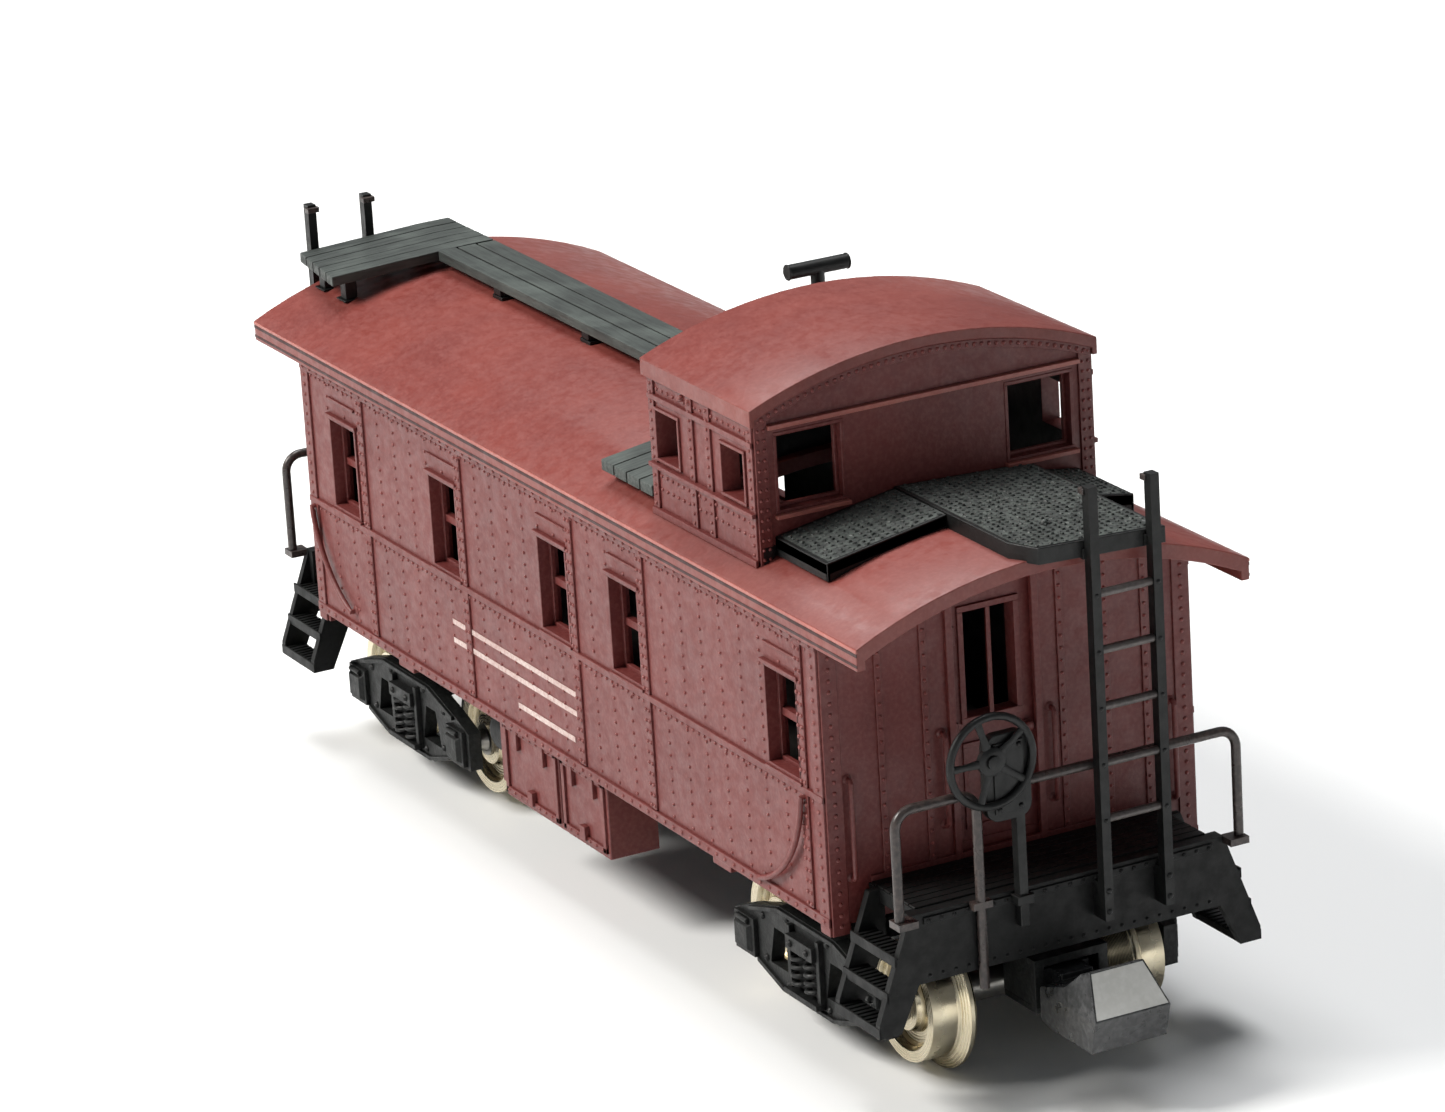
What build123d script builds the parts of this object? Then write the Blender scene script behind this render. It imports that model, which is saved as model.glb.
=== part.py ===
"""N scale (1:160, 9 mm gauge) riveted-steel cupola caboose.

Frame: +X runs along the track towards the cupola end, +Y across the track, +Z up.
The origin is on the ground plane under the middle of the car, where the wheel flanges reach lowest.
End "a" is the cupola end (+X).  End "b" is the plain end.  It repeats end a turned half round, apart
from its ladder and the roof landing above it.
"""
import os
from math import sqrt

from build123d import *

# ---------------------------------------------------------------- driving dimensions (mm)
BODY_HALF_LENGTH = 25.0
BODY_HALF_WIDTH = 8.8
SIDE_BOTTOM = 7.3
CORNER_BOTTOM = 6.9
WALL = 0.9

ROOF_HALF_LENGTH = 29.2
ROOF_HALF_WIDTH = 9.25
ROOF_PEAK = 22.8
ROOF_RADIUS = 21.4
ROOF_THICKNESS = 0.65
FASCIA_THICKNESS = 0.4
FASCIA_BOTTOM = 19.75

CUPOLA_X = (9.9, 19.1)
CUPOLA_HALF_WIDTH = 8.05
CUPOLA_WALL = 0.8
CUPOLA_ROOF_PEAK = 29.65
CUPOLA_ROOF_RADIUS = 21.7
CUPOLA_ROOF_THICKNESS = 0.5
CUPOLA_OVERHANG = 0.25

WINDOW_CENTRES_X = (-20.7, -10.05, 0.95, 7.75, 21.8)
WINDOW_SIZE = (2.6, 4.2)
WINDOW_CENTRE_Z = 15.4
SASH_BAR = 0.35
CUPOLA_SIDE_WINDOWS_X = (11.45, 17.25)
CUPOLA_SIDE_WINDOW_SIZE = (1.9, 2.1)
CUPOLA_SIDE_WINDOW_Z = 24.8
CUPOLA_END_WINDOWS_Y = (-5.5, 5.5)
CUPOLA_END_WINDOW_SIZE = (3.0, 3.2)
CUPOLA_END_WINDOW_Z = 25.05
DOOR_CENTRE_Y = -0.7
DOOR_SIZE = (4.1, 11.9)
DOOR_BOTTOM = 8.85
DOOR_WINDOW_SIZE = (2.4, 4.6)
DOOR_WINDOW_Z = 17.2
DOOR_RECESS = 0.25

FLOOR_BOTTOM = 6.9
FLOOR_THICKNESS = 0.8
FLOOR_CLEARANCE = 0.05

DECK_TOP = 8.9
DECK_THICKNESS = 0.6
DECK_HALF_WIDTH = 7.0
END_FACE_X = 29.3
END_BEAM_THICKNESS = 0.7
END_BEAM_BOTTOM = 5.85
END_BEAM_HALF_WIDTH = 7.5
STEP_X = (25.6, 29.3)
STEP_PLATE = 0.35
STEP_FOOT = (9.15, 3.9)
STEP_TREADS = 3
TREAD_SIZE = (1.05, 0.3)

RAIL_WIRE = 0.42
RAIL_TOP = 13.6
LADDER_CENTRES_Y = (2.8, -4.1)
LADDER_HALF_SPACING = 1.46
LADDER_TOP = 25.6
LADDER_STILE = (0.5, 0.42)
RUNG_RADIUS = 0.16
RUNG_PITCH = 2.43
RUNG_TOP = 21.0
RUNG_COUNT = 5

TRUCK_CENTRE_X = 19.5
TRUCK_HALF_WHEELBASE = 5.3
AXLE_HEIGHT = 3.17
TREAD_RADIUS = 2.62
FLANGE_RADIUS = 3.17
WHEEL_BACK_Y = 3.8
WHEEL_WIDTH = 1.8
FLANGE_WIDTH = 0.55
AXLE_RADIUS = 0.75
AXLE_HALF_LENGTH = 6.65
FRAME_INNER_Y = 6.45
FRAME_THICKNESS = 0.65
BOLSTER_TOP = 5.9
PIN_RADIUS = 1.0
RUNNING_CLEARANCE = 0.05

COUPLER_PIVOT_X = 28.45
COUPLER_PIVOT_Z = 4.4
COUPLER_FACE_X = 34.0
COUPLER_HALF_WIDTH = 1.8


def arc_height(peak, radius, y):
    """Height of a crowned roof at distance y from the centre line."""
    return peak - radius + sqrt(radius ** 2 - y ** 2)


def save(part, label):
    """Label one finished piece and write it as its own STEP file."""
    part.label = label
    export_step(part, f"parts/{label}.step")


def save_pair(part, stem):
    """Write a piece of end a, and the same piece turned half round for end b."""
    save(part, f"{stem}_a")
    save(part.rotate(Axis.Z, 180), f"{stem}_b")


def crowned_outline(half_width, bottom, peak, radius):
    """Closed outline with a flat bottom, upright sides and a crowned top, for the plane Y-Z."""
    shoulder = arc_height(peak, radius, half_width)
    with BuildLine() as outline:
        Polyline(
            (-half_width, shoulder), (-half_width, bottom), (half_width, bottom), (half_width, shoulder))
        ThreePointArc((half_width, shoulder), (0, peak), (-half_width, shoulder))
    return outline.line


os.makedirs("parts", exist_ok=True)

# ---------------------------------------------------------------- body shell
# Sides and ends in one moulding, open below for the floor and above for the roof.
roof_under_peak = ROOF_PEAK - ROOF_THICKNESS
roof_under_radius = ROOF_RADIUS - ROOF_THICKNESS
sash_depth = 0.35

with BuildPart() as body_shell:
    with BuildSketch(Plane.YZ.offset(-BODY_HALF_LENGTH)):
        with BuildLine():
            add(crowned_outline(BODY_HALF_WIDTH, SIDE_BOTTOM, roof_under_peak, roof_under_radius))
        make_face()
    extrude(amount=2 * BODY_HALF_LENGTH)
    with BuildSketch(Plane.XY.offset(SIDE_BOTTOM)):
        Rectangle(2 * (BODY_HALF_LENGTH - WALL), 2 * (BODY_HALF_WIDTH - WALL))
    extrude(amount=ROOF_PEAK, mode=Mode.SUBTRACT)
    # Corner posts reach a little below the side sill.
    post_depth = 1.0
    with BuildSketch(Plane.XY.offset(CORNER_BOTTOM)):
        with GridLocations(2 * BODY_HALF_LENGTH - post_depth, 2 * BODY_HALF_WIDTH - WALL, 2, 2):
            Rectangle(post_depth, WALL)
    extrude(amount=SIDE_BOTTOM - CORNER_BOTTOM)
    # Side windows go right through.
    with BuildSketch(Plane.XZ.offset(-2 * BODY_HALF_WIDTH)):
        with Locations([(x, WINDOW_CENTRE_Z) for x in WINDOW_CENTRES_X]):
            Rectangle(*WINDOW_SIZE)
    extrude(amount=4 * BODY_HALF_WIDTH, mode=Mode.SUBTRACT)
    # A sash bar crosses each window at the inner face of the wall.
    for side in (-1, 1):
        with BuildSketch(Plane.XZ.offset(side * (BODY_HALF_WIDTH - WALL))):
            with Locations([(x, WINDOW_CENTRE_Z) for x in WINDOW_CENTRES_X]):
                Rectangle(WINDOW_SIZE[0], SASH_BAR)
        extrude(amount=side * sash_depth)
    # End doors: a shallow recessed leaf with a window through its upper half.
    for end in (-1, 1):
        with BuildSketch(Plane.YZ.offset(end * BODY_HALF_LENGTH)):
            with Locations((end * DOOR_CENTRE_Y, DOOR_BOTTOM + DOOR_SIZE[1] / 2)):
                Rectangle(*DOOR_SIZE)
        extrude(amount=-end * DOOR_RECESS, mode=Mode.SUBTRACT)
        with BuildSketch(Plane.YZ.offset(end * BODY_HALF_LENGTH)):
            with Locations((end * DOOR_CENTRE_Y, DOOR_WINDOW_Z)):
                Rectangle(*DOOR_WINDOW_SIZE)
        extrude(amount=-end * 2 * WALL, mode=Mode.SUBTRACT)

save(body_shell.part, "body_shell")

# ---------------------------------------------------------------- main roof
# A crowned sheet with a dropped fascia along both eaves and a hatch under the cupola.
hatch_margin = 1.3
hatch_x = (CUPOLA_X[0] + hatch_margin, CUPOLA_X[1] - hatch_margin)

with BuildPart() as main_roof:
    with BuildSketch(Plane.YZ.offset(-ROOF_HALF_LENGTH)):
        with BuildLine():
            add(crowned_outline(ROOF_HALF_WIDTH, FASCIA_BOTTOM, ROOF_PEAK, ROOF_RADIUS))
        make_face()
        with BuildLine():
            add(crowned_outline(ROOF_HALF_WIDTH - FASCIA_THICKNESS, 0, roof_under_peak, roof_under_radius))
        make_face(mode=Mode.SUBTRACT)
    extrude(amount=2 * ROOF_HALF_LENGTH)
    with BuildSketch(Plane.XY):
        with Locations(((hatch_x[0] + hatch_x[1]) / 2, 0)):
            Rectangle(hatch_x[1] - hatch_x[0], 2 * (CUPOLA_HALF_WIDTH - hatch_margin))
    extrude(amount=2 * ROOF_PEAK, mode=Mode.SUBTRACT)

save(main_roof.part, "main_roof")

# ---------------------------------------------------------------- cupola
cupola_length = CUPOLA_X[1] - CUPOLA_X[0]
cupola_centre_x = (CUPOLA_X[0] + CUPOLA_X[1]) / 2
cupola_under_peak = CUPOLA_ROOF_PEAK - CUPOLA_ROOF_THICKNESS
cupola_under_radius = CUPOLA_ROOF_RADIUS - CUPOLA_ROOF_THICKNESS

with BuildPart() as cupola_walls:
    with BuildSketch(Plane.YZ.offset(CUPOLA_X[0])):
        with BuildLine():
            add(crowned_outline(CUPOLA_HALF_WIDTH, FASCIA_BOTTOM, cupola_under_peak, cupola_under_radius))
        make_face()
        with BuildLine():
            add(crowned_outline(ROOF_HALF_WIDTH, 0, ROOF_PEAK, ROOF_RADIUS))
        make_face(mode=Mode.SUBTRACT)
    extrude(amount=cupola_length)
    with BuildSketch(Plane.XY):
        with Locations((cupola_centre_x, 0)):
            Rectangle(cupola_length - 2 * CUPOLA_WALL, 2 * (CUPOLA_HALF_WIDTH - CUPOLA_WALL))
    extrude(amount=2 * CUPOLA_ROOF_PEAK, mode=Mode.SUBTRACT)
    with BuildSketch(Plane.XZ.offset(-2 * CUPOLA_HALF_WIDTH)):
        with Locations([(x, CUPOLA_SIDE_WINDOW_Z) for x in CUPOLA_SIDE_WINDOWS_X]):
            Rectangle(*CUPOLA_SIDE_WINDOW_SIZE)
    extrude(amount=4 * CUPOLA_HALF_WIDTH, mode=Mode.SUBTRACT)
    with BuildSketch(Plane.YZ):
        with Locations([(y, CUPOLA_END_WINDOW_Z) for y in CUPOLA_END_WINDOWS_Y]):
            Rectangle(*CUPOLA_END_WINDOW_SIZE)
    extrude(amount=2 * CUPOLA_X[1], mode=Mode.SUBTRACT)

save(cupola_walls.part, "cupola_walls")

cupola_roof_half_width = CUPOLA_HALF_WIDTH + CUPOLA_OVERHANG
cupola_fascia_drop = 0.75
cupola_fascia_bottom = (
    arc_height(CUPOLA_ROOF_PEAK, CUPOLA_ROOF_RADIUS, cupola_roof_half_width) - cupola_fascia_drop)

with BuildPart() as cupola_roof:
    with BuildSketch(Plane.YZ.offset(CUPOLA_X[0] - CUPOLA_OVERHANG)):
        with BuildLine():
            add(crowned_outline(
                cupola_roof_half_width, cupola_fascia_bottom, CUPOLA_ROOF_PEAK, CUPOLA_ROOF_RADIUS))
        make_face()
        with BuildLine():
            add(crowned_outline(CUPOLA_HALF_WIDTH, 0, cupola_under_peak, cupola_under_radius))
        make_face(mode=Mode.SUBTRACT)
    extrude(amount=cupola_length + 2 * CUPOLA_OVERHANG)

save(cupola_roof.part, "cupola_roof")

# ---------------------------------------------------------------- running boards
BOARD_THICKNESS = 0.5
WALK_TOP = 23.75
WALK_HALF_WIDTH = 1.5
BOARD_END_X = 29.7
LATERAL_DEPTH = 4.4
REAR_BOARD_DEPTH = 4.8
LATERAL_MID_TOP = 23.4
LATERAL_TIP_TOP = 22.35
FRONT_HALF_SPAN = 7.3
REAR_HALF_SPAN = 8.2
LANDING_Y = (-1.65, 5.0)
LANDING_CORNER = (1.3, 0.65)
REAR_LANDING_TIP_Y = -7.0
LEG = 0.6
LEG_FOOT = 20.0


def lateral_outline(half_span):
    """Side-to-side board seen along X: level in the middle, dropping towards both eaves."""
    level = 1.0
    under_mid = LATERAL_MID_TOP - BOARD_THICKNESS
    under_tip = LATERAL_TIP_TOP - BOARD_THICKNESS
    with BuildLine() as outline:
        Polyline(
            (-half_span, LATERAL_TIP_TOP), (-level, LATERAL_MID_TOP), (level, LATERAL_MID_TOP),
            (half_span, LATERAL_TIP_TOP), (half_span, under_tip), (level, under_mid),
            (-level, under_mid), (-half_span, under_tip), close=True)
    return outline.line


def leg_places(x_places, y_places):
    """Every crossing of the given x and y places."""
    return [(x, y) for x in x_places for y in y_places]


# Solid the shape of the roof, used to cut the feet of whatever stands on it.
with BuildPart() as roof_core:
    with BuildSketch(Plane.YZ.offset(-2 * ROOF_HALF_LENGTH)):
        with BuildLine():
            add(crowned_outline(ROOF_HALF_WIDTH, 0, ROOF_PEAK, ROOF_RADIUS))
        make_face()
    extrude(amount=4 * ROOF_HALF_LENGTH)

leg_inset = 1.0
lateral_leg_height = LATERAL_TIP_TOP - BOARD_THICKNESS / 2 - LEG_FOOT

# Along the ridge from the cupola to end b, then across to the ladder there.
walk_start_x = CUPOLA_X[0]
landing_depth = 5.0
landing_drop = 0.3
landing_tip_top = WALK_TOP - landing_drop
tip_slant = 0.6
with BuildPart() as roofwalk_main:
    with BuildSketch(Plane.XY.offset(WALK_TOP - BOARD_THICKNESS)):
        with Locations(((walk_start_x - BOARD_END_X) / 2, 0)):
            Rectangle(walk_start_x + BOARD_END_X, 2 * WALK_HALF_WIDTH)
    extrude(amount=BOARD_THICKNESS)
    with BuildSketch(Plane.YZ.offset(-BOARD_END_X)):
        with BuildLine():
            Polyline(
                (0, WALK_TOP), (REAR_LANDING_TIP_Y, landing_tip_top),
                (REAR_LANDING_TIP_Y, landing_tip_top - BOARD_THICKNESS), (0, WALK_TOP - BOARD_THICKNESS),
                close=True)
        make_face()
    extrude(amount=landing_depth)
    with BuildSketch(Plane.XY.offset(LEG_FOOT)):
        with Locations(leg_places((-28.0, -18.5, -9.5, -1.0), (-1, 1))):
            Rectangle(LEG, LEG)
    extrude(amount=WALK_TOP - BOARD_THICKNESS / 2 - LEG_FOOT)
    with BuildSketch(Plane.XY.offset(LEG_FOOT)):
        with Locations(leg_places((-28.0, -25.6), (REAR_LANDING_TIP_Y + 2 * LEG,))):
            Rectangle(LEG, LEG)
    extrude(amount=landing_tip_top - BOARD_THICKNESS / 2 - LEG_FOOT)
    add(roof_core.part, mode=Mode.SUBTRACT)
    # The landing's outer edge slants back towards the end of the car.
    with BuildSketch(Plane.XY):
        with BuildLine():
            Polyline(
                (landing_depth - BOARD_END_X, REAR_LANDING_TIP_Y), (-BOARD_END_X, REAR_LANDING_TIP_Y),
                (-BOARD_END_X, REAR_LANDING_TIP_Y + tip_slant), close=True)
        make_face()
    extrude(amount=2 * ROOF_PEAK, mode=Mode.SUBTRACT)

# Across the roof behind the cupola.  It passes under the ridge walk with a small gap.
rear_board_x = (CUPOLA_X[0] - REAR_BOARD_DEPTH, CUPOLA_X[0])
rear_leg_y = REAR_HALF_SPAN - leg_inset
with BuildPart() as roofwalk_rear:
    with BuildSketch(Plane.YZ.offset(rear_board_x[0])):
        with BuildLine():
            add(lateral_outline(REAR_HALF_SPAN))
        make_face()
    extrude(amount=rear_board_x[1] - rear_board_x[0])
    with BuildSketch(Plane.XY.offset(LEG_FOOT)):
        with Locations(leg_places(
                (rear_board_x[0] + LEG, rear_board_x[1] - LEG), (-rear_leg_y, rear_leg_y))):
            Rectangle(LEG, LEG)
    extrude(amount=lateral_leg_height)
    add(roof_core.part, mode=Mode.SUBTRACT)
    walk_gap = 0.05
    with BuildSketch(Plane.XY):
        with Locations((rear_board_x[0], 0)):
            Rectangle(2 * cupola_length, 2 * (WALK_HALF_WIDTH + walk_gap))
    extrude(amount=2 * ROOF_PEAK, mode=Mode.SUBTRACT)

# Across the roof in front of the cupola, with a landing that reaches the ladder at end a.
front_board_x = (CUPOLA_X[1], CUPOLA_X[1] + LATERAL_DEPTH)
front_leg_y = FRONT_HALF_SPAN - leg_inset
with BuildPart() as roofwalk_front:
    with BuildSketch(Plane.YZ.offset(front_board_x[0])):
        with BuildLine():
            add(lateral_outline(FRONT_HALF_SPAN))
        make_face()
    extrude(amount=LATERAL_DEPTH)
    with BuildSketch(Plane.YZ.offset(front_board_x[0])):
        with BuildLine():
            Polyline(
                (LANDING_Y[0], LATERAL_MID_TOP), (LANDING_Y[1], LATERAL_MID_TOP - landing_drop),
                (LANDING_Y[1], LATERAL_MID_TOP - landing_drop - BOARD_THICKNESS),
                (LANDING_Y[0], LATERAL_MID_TOP - BOARD_THICKNESS), close=True)
        make_face()
    extrude(amount=BOARD_END_X - front_board_x[0])
    with BuildSketch(Plane.XY.offset(LEG_FOOT)):
        with Locations(leg_places(
                (front_board_x[0] + LEG, front_board_x[1] - LEG), (-front_leg_y, front_leg_y))):
            Rectangle(LEG, LEG)
    extrude(amount=lateral_leg_height)
    with BuildSketch(Plane.XY.offset(LEG_FOOT)):
        with Locations(leg_places((28.2,), (-1.0, 1.8, 4.5))):
            Rectangle(LEG, LEG)
    extrude(amount=LATERAL_MID_TOP - BOARD_THICKNESS - landing_drop / 2 - LEG_FOOT)
    add(roof_core.part, mode=Mode.SUBTRACT)
    # The landing's outer corner beside the door is cut off.
    with BuildSketch(Plane.XY):
        with BuildLine():
            Polyline(
                (BOARD_END_X - LANDING_CORNER[0], LANDING_Y[0]), (BOARD_END_X, LANDING_Y[0]),
                (BOARD_END_X, LANDING_Y[0] + LANDING_CORNER[1]), close=True)
        make_face()
    extrude(amount=2 * ROOF_PEAK, mode=Mode.SUBTRACT)

save(roofwalk_main.part, "roofwalk_main")
save(roofwalk_rear.part, "roofwalk_rear")
save(roofwalk_front.part, "roofwalk_front")

# ---------------------------------------------------------------- smokejack
JACK_XY = (-0.6, 5.9)
JACK_RADIUS = 0.32
JACK_HEAD_RADIUS = 0.34
JACK_FLANGE_RISE = 0.45
JACK_TOP = 27.0
JACK_HEAD_HALF = 1.55

with BuildPart() as smokejack:
    with BuildSketch(Plane.XY.offset(LEG_FOOT)):
        with Locations(JACK_XY):
            Circle(JACK_RADIUS)
    extrude(amount=JACK_TOP - LEG_FOOT)
    with BuildSketch(Plane.XY.offset(LEG_FOOT)):
        with Locations(JACK_XY):
            Circle(2 * JACK_RADIUS)
    extrude(amount=arc_height(ROOF_PEAK, ROOF_RADIUS, JACK_XY[1]) + JACK_FLANGE_RISE - LEG_FOOT)
    add(roof_core.part, mode=Mode.SUBTRACT)
    with BuildSketch(Plane.XZ.offset(-JACK_XY[1] - JACK_HEAD_HALF)):
        with Locations((JACK_XY[0], JACK_TOP)):
            Circle(JACK_HEAD_RADIUS)
    extrude(amount=2 * JACK_HEAD_HALF)

save(smokejack.part, "smokejack")

# ---------------------------------------------------------------- underframe
# Floor plate that plugs the bottom of the shell, with centre sill and truck bosses.
floor_half_length = BODY_HALF_LENGTH - WALL - FLOOR_CLEARANCE
floor_half_width = BODY_HALF_WIDTH - WALL - FLOOR_CLEARANCE
SILL_HALF_WIDTH = 1.5
SILL_BOTTOM = 5.6
BOSS_RADIUS = 1.7
SCREW_X = 8.0
SCREW_RADIUS = 0.5
SILL_REACH = TRUCK_CENTRE_X - 4.0
FLOOR_RIB = (0.7, 0.5)

with BuildPart() as underframe:
    with BuildSketch(Plane.XY.offset(FLOOR_BOTTOM)):
        Rectangle(2 * floor_half_length, 2 * floor_half_width)
    extrude(amount=FLOOR_THICKNESS)
    with BuildSketch(Plane.XY.offset(SILL_BOTTOM)):
        Rectangle(2 * SILL_REACH, 2 * SILL_HALF_WIDTH)
    extrude(amount=FLOOR_BOTTOM - SILL_BOTTOM)
    with BuildSketch(Plane.XY.offset(FLOOR_BOTTOM - FLOOR_RIB[1])):
        with Locations([(x, 0) for x in (-8.5, 8.5)]):
            Rectangle(FLOOR_RIB[0], 2 * floor_half_width)
    extrude(amount=FLOOR_RIB[1])
    with BuildSketch(Plane.XY.offset(BOLSTER_TOP + RUNNING_CLEARANCE)):
        with Locations((-TRUCK_CENTRE_X, 0), (TRUCK_CENTRE_X, 0)):
            Circle(BOSS_RADIUS)
    extrude(amount=FLOOR_BOTTOM - BOLSTER_TOP - RUNNING_CLEARANCE)
    with BuildSketch(Plane.XY):
        with Locations((-TRUCK_CENTRE_X, 0), (TRUCK_CENTRE_X, 0)):
            Circle(PIN_RADIUS)
        with Locations((-SCREW_X, 0), (SCREW_X, 0)):
            Circle(SCREW_RADIUS)
    extrude(amount=2 * FLOOR_BOTTOM, mode=Mode.SUBTRACT)

save(underframe.part, "underframe")

# Steel ballast bar on the floor, tapped for the two screws that come up through the centre sill.
WEIGHT_HALF = (15.0, 6.0)
WEIGHT_THICKNESS = 2.0
weight_bottom = FLOOR_BOTTOM + FLOOR_THICKNESS

with BuildPart() as ballast_weight:
    with BuildSketch(Plane.XY.offset(weight_bottom)):
        RectangleRounded(2 * WEIGHT_HALF[0], 2 * WEIGHT_HALF[1], 0.6)
        with Locations((-SCREW_X, 0), (SCREW_X, 0)):
            Circle(SCREW_RADIUS, mode=Mode.SUBTRACT)
    extrude(amount=WEIGHT_THICKNESS)

save(ballast_weight.part, "ballast_weight")

screw_grip = 1.5
screw_head = 0.5
slot_size = (1.6, 0.25)

with BuildPart() as floor_screws:
    with BuildSketch(Plane.XY.offset(SILL_BOTTOM)):
        with Locations((-SCREW_X, 0), (SCREW_X, 0)):
            Circle(SCREW_RADIUS)
    extrude(amount=weight_bottom + screw_grip - SILL_BOTTOM)
    with BuildSketch(Plane.XY.offset(SILL_BOTTOM - screw_head)):
        with Locations((-SCREW_X, 0), (SCREW_X, 0)):
            Circle(2 * SCREW_RADIUS)
    extrude(amount=screw_head)
    with BuildSketch(Plane.XY.offset(SILL_BOTTOM - screw_head)):
        with Locations((-SCREW_X, 0), (SCREW_X, 0)):
            Rectangle(*slot_size)
    extrude(amount=screw_head / 2, mode=Mode.SUBTRACT)

save(floor_screws.part, "floor_screws")

# ---------------------------------------------------------------- equipment below the floor
BOX_X = (-6.3, 4.0)
BOX_Y = (6.0, 8.45)
BOX_BOTTOM = 3.5
BOX_GROOVE_X = -0.57
BOX_GROOVE = (0.3, 0.4)
lip_outer_y = floor_half_width + FLOOR_CLEARANCE

for side, label in ((-1, "battery_box_right"), (1, "battery_box_left")):
    with BuildPart() as battery_box:
        with BuildSketch(Plane.XY.offset(BOX_BOTTOM)):
            with Locations(((BOX_X[0] + BOX_X[1]) / 2, side * (BOX_Y[0] + BOX_Y[1]) / 2)):
                Rectangle(BOX_X[1] - BOX_X[0], BOX_Y[1] - BOX_Y[0])
        extrude(amount=FLOOR_BOTTOM - BOX_BOTTOM)
        # A groove parts the two doors.
        with BuildSketch(Plane.XY.offset(BOX_BOTTOM + BOX_GROOVE[0])):
            with Locations((BOX_GROOVE_X, side * BOX_Y[1])):
                Rectangle(*BOX_GROOVE)
        extrude(amount=FLOOR_BOTTOM - BOX_BOTTOM, mode=Mode.SUBTRACT)
        # A shallow lip fills the step between the floor and the side sill.
        with BuildSketch(Plane.XY.offset(FLOOR_BOTTOM)):
            with Locations(((BOX_X[0] + BOX_X[1]) / 2, side * (BOX_Y[1] + lip_outer_y) / 2)):
                Rectangle(BOX_X[1] - BOX_X[0], BOX_Y[1] - lip_outer_y)
        extrude(amount=SIDE_BOTTOM - FLOOR_BOTTOM)
    save(battery_box.part, label)

TANK_RADIUS = 1.3
TANK_DOME = 0.7
TANK_Z = FLOOR_BOTTOM - 0.5 - TANK_RADIUS
SADDLE_THICKNESS = 0.4

for label, x, y, half_length, radius in (
        ("air_reservoir", -8.75, -6.0, 2.0, TANK_RADIUS), ("brake_cylinder", 8.6, 5.6, 1.8, 1.1)):
    centre = Vector(x, y, TANK_Z)
    with BuildPart() as tank:
        with BuildSketch(Plane(origin=centre, x_dir=(1, 0, 0), z_dir=(0, -1, 0))):
            with Locations((0, radius / 2)):
                half_section = Rectangle(2 * half_length, radius)
            fillet(half_section.vertices().group_by(Axis.Y)[-1], TANK_DOME)
        revolve(axis=Axis(centre, (1, 0, 0)))
        # Two saddles hang the tank from the floor.
        with BuildSketch(Plane.XY.offset(TANK_Z)):
            with Locations((x - half_length / 2, y), (x + half_length / 2, y)):
                Rectangle(SADDLE_THICKNESS, 1.2 * radius)
        extrude(amount=FLOOR_BOTTOM - TANK_Z)
    save(tank.part, label)

# ---------------------------------------------------------------- end platform, steps and beam
deck_gap = 0.02
deck_length = END_FACE_X - BODY_HALF_LENGTH - deck_gap
step_inner_y = DECK_HALF_WIDTH - 0.2
tread_top = (7.2, DECK_HALF_WIDTH + 0.75)
tread_bottom = (4.25, STEP_FOOT[0] - TREAD_SIZE[0] / 2)


def step_plate_outline(side):
    """Raking side plate of the steps, seen along X, on side -1 or +1 of the car."""
    corners = (
        (step_inner_y, DECK_TOP), (END_BEAM_HALF_WIDTH, DECK_TOP), (STEP_FOOT[0], STEP_FOOT[1] + 0.6),
        STEP_FOOT, (STEP_FOOT[0] - 1.0, STEP_FOOT[1]), (step_inner_y, DECK_TOP - 2.2))
    with BuildLine() as outline:
        Polyline(*[(side * y, z) for y, z in corners], close=True)
    return outline.line


with BuildPart() as end_platform:
    with BuildSketch(Plane.XY.offset(DECK_TOP - DECK_THICKNESS)):
        with Locations((END_FACE_X - deck_length / 2, 0)):
            Rectangle(deck_length, 2 * DECK_HALF_WIDTH)
    extrude(amount=DECK_THICKNESS)
    # End beam across the car, above the coupler.
    with BuildSketch(Plane.XY.offset(END_BEAM_BOTTOM)):
        with Locations((END_FACE_X - END_BEAM_THICKNESS / 2, 0)):
            Rectangle(END_BEAM_THICKNESS, 2 * END_BEAM_HALF_WIDTH)
    extrude(amount=DECK_TOP - END_BEAM_BOTTOM)
    # Steps on both sides: two raking plates with treads between them.
    for side in (-1, 1):
        for x in (STEP_X[0], STEP_X[1] - STEP_PLATE):
            with BuildSketch(Plane.YZ.offset(x)):
                with BuildLine():
                    add(step_plate_outline(side))
                make_face()
            extrude(amount=STEP_PLATE)
        for level in range(STEP_TREADS):
            share = level / (STEP_TREADS - 1)
            tread_z = tread_top[0] + share * (tread_bottom[0] - tread_top[0])
            tread_y = tread_top[1] + share * (tread_bottom[1] - tread_top[1])
            with BuildSketch(Plane.XY.offset(tread_z - TREAD_SIZE[1])):
                with Locations(((STEP_X[0] + STEP_X[1]) / 2, side * tread_y)):
                    Rectangle(STEP_X[1] - STEP_X[0], TREAD_SIZE[0])
            extrude(amount=TREAD_SIZE[1])

save_pair(end_platform.part, "end_platform")

# ---------------------------------------------------------------- hand brake sizes, shared with the railing
BRAKE_CENTRE = (-3.75, 14.95)
BRAKE_WHEEL_RADIUS = 2.1
BRAKE_RIM = 0.3
BRAKE_SPOKES = 5
BRAKE_HUB_RADIUS = 0.55
BRAKE_HOUSING_Y = (-3.95, -1.85)
BRAKE_HOUSING_Z = (12.2, 15.95)
BRAKE_HOUSING_X = (END_FACE_X, END_FACE_X + 0.5)
BRAKE_POST_Y = -2.4
BRAKE_POST = (0.5, 0.42)
BRAKE_POST_BELOW_DECK = 1.5

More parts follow.
